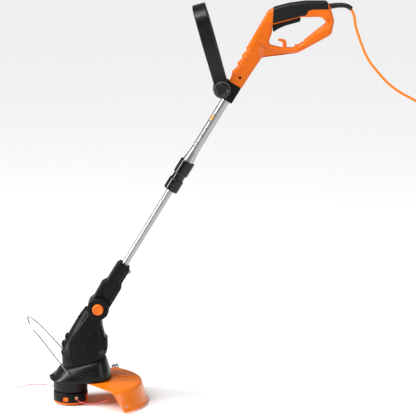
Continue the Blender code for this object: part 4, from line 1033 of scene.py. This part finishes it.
def shroud_parts():
    """The flared base under the motor housing, with the collar round the line head."""
    whole = lofted("shroud_moulding", SHROUD_RINGS, sides=144, power=2.5, levels_between=8)
    grooves = []
    for side in (-1, 1):
        for n in range(3):
            spots = ((-616 + 3 * n, -986 - 5.2 * n), (-590, -982.5 - 5.4 * n), (-566, -979.5 - 5.6 * n),
                     (-546 - 2 * n, -976 - 5.8 * n))
            path = onto(whole, smooth_spots(spots), 0.2, side)
            swell = [3.0 * sin(pi * (0.12 + 0.76 * k / (len(path) - 1))) for k in range(len(path))]
            grooves.append(pipe(f"groove_{side + 1}_{n}", path, swell, sides=12))
    x, z = -629, -981
    wells = [turned(f"wire_well_{sign}", ((0, 0, 0), (4.2, 0, 1), (7.5, 13, 0), (0, 13, 0)),
                    place(x, sign * 58, z, 0, 0, -sign * pi / 2), 48) for sign in (-1, 1)]
    collar = turned("collar", ((0, -1000, 0), (SPOOL_R - 1, -1000, 0), (SPOOL_R, -1003, 1),
                               (SPOOL_R, -1042, 0.8), (0, -1042, 0)), SPOOL, 144)
    knob = ball("front_knob", (6.5, 9, 6.0), place(-680.5, -16, -1003))
    gathered(whole, [collar, knob])
    soften(whole, 1.25, 4)
    cutters = grooves + wells
    cutters += [lofted("shroud_core", SHROUD_CORE, sides=64, power=2.5, levels_between=4),
                cylinder("collar_core", SPOOL_R - 2.6, -1052.5, -1012.5, SPOOL, sides=128),
                cylinder("spindle_room", 6.4, -1040, -980, SPOOL, sides=48),
                across_bar("wire_room", 1.9, x, z, -100, 100, sides=24)]
    for sign in (-1, 1):
        cutters.append(cylinder(f"guard_screw_room_{sign + 1}", SCREW_HOLE_R, -1025, -995,
                                place(*GUARD_SCREWS[sign], 0), sides=24))
    combine(whole, cutters)
    piece(whole, SATIN, "head", "base_shroud", sharp=50)


# ---- line guard ---------------------------------------------------------------------------
GUARD_CENTRE_X = -585
GUARD_TOP = -1010.3
GUARD_SCREWS = {-1: (-541, -26), 1: (-541, 26)}     # (x, y) by side


def guard_parts():
    """The line guard, its screws and the line cutter blade."""
    top = GUARD_TOP
    wall = 2.6
    crest, rim, rim_z = 151, 165, -1074
    outer = [(16, top, 0), (78, top, 60), (crest - 8, top - 6, 8), (crest - 2, top - 8.5, 5),
             (crest + 1, top - 13, 8), (rim - 1, rim_z + 6, 8), (rim + 1, rim_z + 2, 2),
             (rim + 3.4, rim_z + 1.4, 1), (rim + 3.6, rim_z, 0.6)]
    inner = [(rim - 1, rim_z, 2), (rim - 3.4, rim_z + 5, 6), (crest - 1.6, top - 14, 8),
             (crest - 4.4, top - 10.6, 5), (crest - 9.5, top - 8.2, 8), (78, top - wall, 60),
             (16, top - wall, 0)]
    outline = rounded(outer + inner, 6)
    sweep = radians(186)
    steps = 150
    bm = bmesh.new()
    rings = []
    for k in range(steps + 1):
        angle = -sweep / 2 + sweep * k / steps
        rings.append([bm.verts.new(((GUARD_CENTRE_X + r * cos(angle)) * MM, r * sin(angle) * MM, z * MM))
                      for r, z in outline])
    guard = skinned("guard_moulding", bm, rings)
    cutters = [cylinder("guard_collar_room", SPOOL_R + 1.5, -1040, -980, SPOOL, sides=128)]
    corners = {}
    for sign in (-1, 1):
        outward = Vector((-0.639, sign * 0.668, -0.383)).normalized()
        facing = outward.to_track_quat("Z", "Y").to_matrix().to_4x4()
        corner = Vector((-506, sign * 130, -1018))
        corners[sign] = (outward, facing, corner)
        cutters.append(box(f"guard_end_{sign + 1}", (500, 500, 200),
                           Matrix.Translation((corner + outward * 100) * MM) @ facing))
    for n, sign in ((1, -1), (2, 1)):
        cutters.append(cylinder(f"guard_screw_hole_{n}", 2.2, -1025, -995, place(*GUARD_SCREWS[sign], 0),
                                sides=32))
    window = (Matrix.Translation(Vector((-468, -119, -1060)) * MM) @ Matrix.Rotation(radians(38), 4, "Z")
              @ Matrix.Rotation(radians(-8), 4, "Y"))
    cutters.append(box("skirt_window", (14, 40, 6), window, 1.2))
    combine(guard, cutters)
    tree = BVHTree.FromObject(guard, bpy.context.evaluated_depsgraph_get())
    ridge = []
    for k in range(24):
        hit = tree.ray_cast(Vector((-520 + 3.2 * k, 14, 0)) * MM, Vector((0, 0, -1)))[0]
        ridge.append(hit / MM + Vector((0, 0, 1.0)))
    combine(guard, [pipe("guard_ridge", ridge, 1.7, sides=24)], "UNION")
    piece(guard, GUARD, "head", "line_guard", sharp=32)
    profile = ((0, 9.5, 0), (1.1, 9, 0), (1.5, 8, 0), (1.1, 7.5, 0), (1.5, 6.9, 0), (1.1, 6.3, 0),
               (1.5, 5.7, 0), (1.1, 5.0, 0), (1.1, 2.2, 0), (3.3, 2.2, 0.2), (3.3, 0.9, 0.4),
               (2.5, 0, 0.5), (0, 0, 0))
    for n, sign in ((1, -1), (2, 1)):
        here = place(*GUARD_SCREWS[sign], -1015.4)
        screw = turned(f"guard_screw_piece_{n}", profile, here, 32, 3)
        combine(screw, cross_recess(f"guard_screw_{n}", 2.2, here))
        piece(screw, STEEL, "head", f"guard_screw_{n}")
    outward, facing, corner = corners[1]
    at = corner + outward * 1.1 + Vector((-5, -4.8, -2))
    blade = box("cutter_plate", (24, 24, 1.6), Matrix.Translation(at * MM) @ facing, 0.25)
    seat = Matrix.Translation(at * MM) @ facing
    edge = box("cutter_bevel", (40, 8, 6), seat @ place(0, -12.6, 3.0, 0, 0, radians(22)))
    holes = [cylinder(f"cutter_hole_{k}", 2.1, -4, 4, seat @ place(k, 4, 0), sides=32) for k in (-6, 6)]
    combine(blade, [edge] + holes)
    piece(blade, STEEL, "head", "line_cutter_blade")


def wire_part():
    """The folding wire guard in front of the line head."""
    half = ((0, -66, 0), (0, -75.5, 0), (-10, -74.5, 12), (-74, -54, 91), (-82, -51, 101),
            (-94, -48, 113), (-107, -33, 129), (-114, -12, 138), (-115.5, 0, 139.5))
    points = list(half) + [(x, -y, z) for x, y, z in reversed(half[:-1])]
    path = [Vector(points[0]), Vector((0, -72.5, 0)), Vector((-1.2, -74.9, 1.4))]
    path += smooth_path(points[1:-1], 4)[1:-1]
    path += [Vector((-1.2, 74.9, 1.4)), Vector((0, 72.5, 0)), Vector(points[-1])]
    piece(pipe("wire_loop", path, 1.6, place(-629, 0, -981), 18), WIRE, "wire_guard", "wire_guard",
          weighted=False)


# ---- line head ----------------------------------------------------------------------------
TAB_ANGLES = (radians(-103.5), radians(76.5))
LATCH_ANGLES = (radians(-13.5), radians(166.5))
EYELETS = (radians(-67.5), radians(112.5))


def at_rim(angle, radius, z):
    """A place on the line head, facing outwards at this angle."""
    return SPOOL @ place(radius * cos(angle), radius * sin(angle), z, 0, angle)


def eyelet_seat(angle):
    return at_rim(angle, SPOOL_R, -1057) @ Matrix.Rotation(pi / 2, 4, "Y")


def line_head_parts():
    """Spool housing, eyelets, cap, release tabs and the two line ends."""
    profile = ((SPOOL_R - 2, -1044.6, 0.5), (SPOOL_R, -1046.6, 1), (SPOOL_R, -1050.4, 0.2),
               (SPOOL_R - 0.7, -1050.8, 0.2),
               (SPOOL_R - 0.7, -1051.8, 0.2), (SPOOL_R, -1052.2, 0.2), (SPOOL_R, -1070.4, 0.3),
               (SPOOL_R - 3, -1070.4, 0.2), (SPOOL_R - 3, -1048, 1), (8, -1048, 0.5), (8, -1062, 0.4),
               (5.3, -1062, 0.3), (5.3, -1044.6, 0.3))
    housing = turned("spool_drum", profile, SPOOL, 160)
    windows = (("tab", TAB_ANGLES, 15, -1060.5), ("latch", LATCH_ANGLES, 20, -1063))
    cutters = [box(f"{name}_window_{n}", (14, 17, tall), at_rim(angle, SPOOL_R, z), 0.8)
               for name, angles, tall, z in windows for n, angle in enumerate(angles)]
    for n, angle in enumerate(EYELETS):
        cutters.append(cylinder(f"eyelet_room_{n}", 3.2, -10, 10, eyelet_seat(angle), sides=40))
        for k, spread in enumerate((-0.2, 0.2)):
            cutters.append(box(f"grip_flute_{n}_{k}", (1.6, 2.4, 12),
                               at_rim(angle + spread, SPOOL_R + 0.2, -1060), 0.6))
    for angle in TAB_ANGLES + LATCH_ANGLES:
        for spread in (-0.42, -0.36, -0.30, 0.30):
            cutters.append(box(f"grip_line_{angle:.2f}_{spread:.2f}", (1.4, 1.3, 12),
                               at_rim(angle + spread, SPOOL_R + 0.2, -1060), 0.4))
    combine(housing, cutters)
    piece(housing, BLACK, "line_head", "spool_housing")
    for n, angle in enumerate(EYELETS, 1):
        ring = turned(f"eyelet_{n}", ((4.2, 1.3, 0.5), (4.4, 0.4, 0.2), (2.9, 0.4, 0.2), (2.9, -4, 0.3),
                                      (1.6, -4, 0.4), (1.6, 1.3, 0.7)), eyelet_seat(angle), 48)
        piece(ring, BRASS, "line_head", f"line_eyelet_{n}")
    cap = [(0, -1074.6, 0), (10.2, -1074.6, 0.3), (10.2, -1076.2, 0.3), (43, -1076.2, 0.5),
           (43, -1067.5, 0.2), (43.6, -1067.5, 0.2), (43.6, -1070.9, 0.3), (SPOOL_R, -1070.9, 0.5),
           (SPOOL_R, -1073.5, 2), (SPOOL_R - 3, -1077.3, 3), (SPOOL_R - 8, FLOOR_Z + 0.4, 2),
           (SPOOL_R - 12, FLOOR_Z, 1), (24, FLOOR_Z, 0.5), (23, FLOOR_Z + 0.9, 0.4),
           (21, FLOOR_Z + 0.9, 0.4), (20, FLOOR_Z, 0.5), (0, FLOOR_Z, 0)]
    lid = turned("cap_moulding", cap, SPOOL, 160)
    rooms = [box(f"tab_room_{n}", (12, 16.6, 6), at_rim(angle, SPOOL_R - 1.2, -1068.5), 0.4)
             for n, angle in enumerate(TAB_ANGLES)]
    combine(lid, rooms)
    latches = [box(f"latch_{n}", (3.2, 14, 17), at_rim(angle, SPOOL_R - 1.6, -1063), 0.7)
               for n, angle in enumerate(LATCH_ANGLES)]
    combine(lid, latches, "UNION")
    piece(lid, ORANGE, "line_head", "spool_cap")
    for n, angle in enumerate(TAB_ANGLES, 1):
        tab = box(f"release_tab_{n}", (3.4, 14, 11.4), at_rim(angle, SPOOL_R - 1.6, -1061.5), 0.8, 4)
        ribs = [box(f"tab_rib_{n}_{k}", (1.2, 10.5, 0.9),
                    at_rim(angle, SPOOL_R + 0.2, -1058.5 - 2.2 * k), 0.3) for k in range(4)]
        combine(tab, ribs)
        piece(tab, ORANGE, f"cap_release_tab_{n}", f"cap_release_tab_{n}")
    right = ((-612.3, -42.7, -1057), (-603, -64, -1060.5), (-586, -76, -1063), (-560, -86, -1061),
             (-523, -96, -1049))
    left = ((-647.7, 42.7, -1057), (-657, 62, -1056), (-679, 66, -1054), (-722, 52, -1046),
            (-752, 36, -1043), (-779, 16, -1046))
    for name, route in (("right", right), ("left", left)):
        path = smooth_path(route, 2.0)
        radii = [0.98 + 0.05 * sin(1.1 * k) for k in range(len(path))]
        piece(pipe(f"line_end_{name}", path, radii, sides=14), LINE, "line_head", f"cutting_line_{name}",
              weighted=False)


def coil_spring(node, body, radius, wire, length, turns, matrix):
    """A compression spring about local Z, standing on the matrix's origin."""
    per_turn = 24
    last = per_turn * turns
    path = [(radius * cos(2 * pi * step / per_turn), radius * sin(2 * pi * step / per_turn),
             wire + (length - 2 * wire) * step / last) for step in range(last + 1)]
    return piece(pipe(node + "_coil", path, wire, matrix, 10), SPRING, body, node, weighted=False)


def spring_parts():
    """Four coil springs; the three under the buttons and the lever get a mesh of their own, the spool
    spring does not.
    """
    coil = coil_spring("trigger_spring", "handle", 2.0, 0.30, 26.3, 6, place(-70, 0, -38.5))
    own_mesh(coil)
    coil = coil_spring("aux_button_spring", "aux_handle", 8, 0.5, 6.9, 2, AUX @ place(0, -27.2, 0) @ Y_AXIS)
    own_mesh(coil)
    coil = coil_spring("pivot_button_spring", "head", 6.5, 0.6, 20, 4, HEAD @ place(0, 12.6, 0) @ Y_AXIS)
    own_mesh(coil)
    coil_spring("spool_spring", "line_head", 14, 0.8, 8.5, 2, SPOOL @ place(0, 0, -1075.8))


def inner_materials():
    """Kept CAD solids inside the machine take the finished materials."""
    paints = {
        "switch_body": SATIN, "switch_plunger": NYLON, "clamp_collet": NYLON, "guide_bush": NYLON,
        "motor_stator": COPPER, "armature": COPPER, "cooling_fan": NYLON, "spool_gear": STEEL,
        "line_spool": LINE,
    }
    for name, paint in paints.items():
        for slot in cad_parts[name].material_slots:
            slot.material = paint


# ---- studio -------------------------------------------------------------------------------
def studio():
    """White floor, pale surroundings, one soft key light and three strips."""
    bm = bmesh.new()
    bmesh.ops.create_grid(bm, x_segments=2, y_segments=2, size=40)
    floor = from_bmesh("floor", bm, place(-250, 0, FLOOR_Z - 0.2))
    paint = bpy.data.materials.new("pale_floor")
    paint.use_nodes = True
    set_inputs(paint.node_tree.nodes["Principled BSDF"], Base_Color=(0.90, 0.90, 0.90, 1), Roughness=0.9,
               Specular_IOR_Level=0.1)
    floor.data.materials.append(paint)

    world = SCENE.world or bpy.data.worlds.new("studio")
    SCENE.world = world
    world.use_nodes = True
    set_inputs(world.node_tree.nodes["Background"], Color=(1, 1, 1, 1), Strength=0.22)

    target = Vector((-250, 0, -520)) * MM
    sun = bpy.data.lights.new("key", "SUN")
    sun.energy = 2.8
    sun.angle = radians(38)
    lamps = [(sun, (-2.6, -1.7, 4.8))]
    for name, at, watts, wide, tall in (("left_strip", (-2.9, -0.7, 0.7), 105, 0.55, 2.2),
                                        ("right_strip", (2.6, -1.1, 0.6), 18, 0.30, 2.0),
                                        ("top_strip", (-0.3, -1.3, 2.5), 26, 1.8, 0.35)):
        panel = bpy.data.lights.new(name, "AREA")
        panel.shape = "RECTANGLE"
        panel.energy = watts
        panel.size = wide
        panel.size_y = tall
        lamps.append((panel, at))
    for data, at in lamps:
        lamp = bpy.data.objects.new(data.name, data)
        lamp.location = target + Vector(at)
        lamp.rotation_euler = (-Vector(at)).to_track_quat("-Z", "Y").to_euler()
        SCENE.collection.objects.link(lamp)
    SCENE.view_settings.view_transform = "Standard"


lead_parts()
handle_parts()
tube_parts()
bracket_and_aux()
neck_parts()
housing_parts()
shroud_parts()
guard_parts()
wire_part()
line_head_parts()
spring_parts()
inner_materials()
studio()
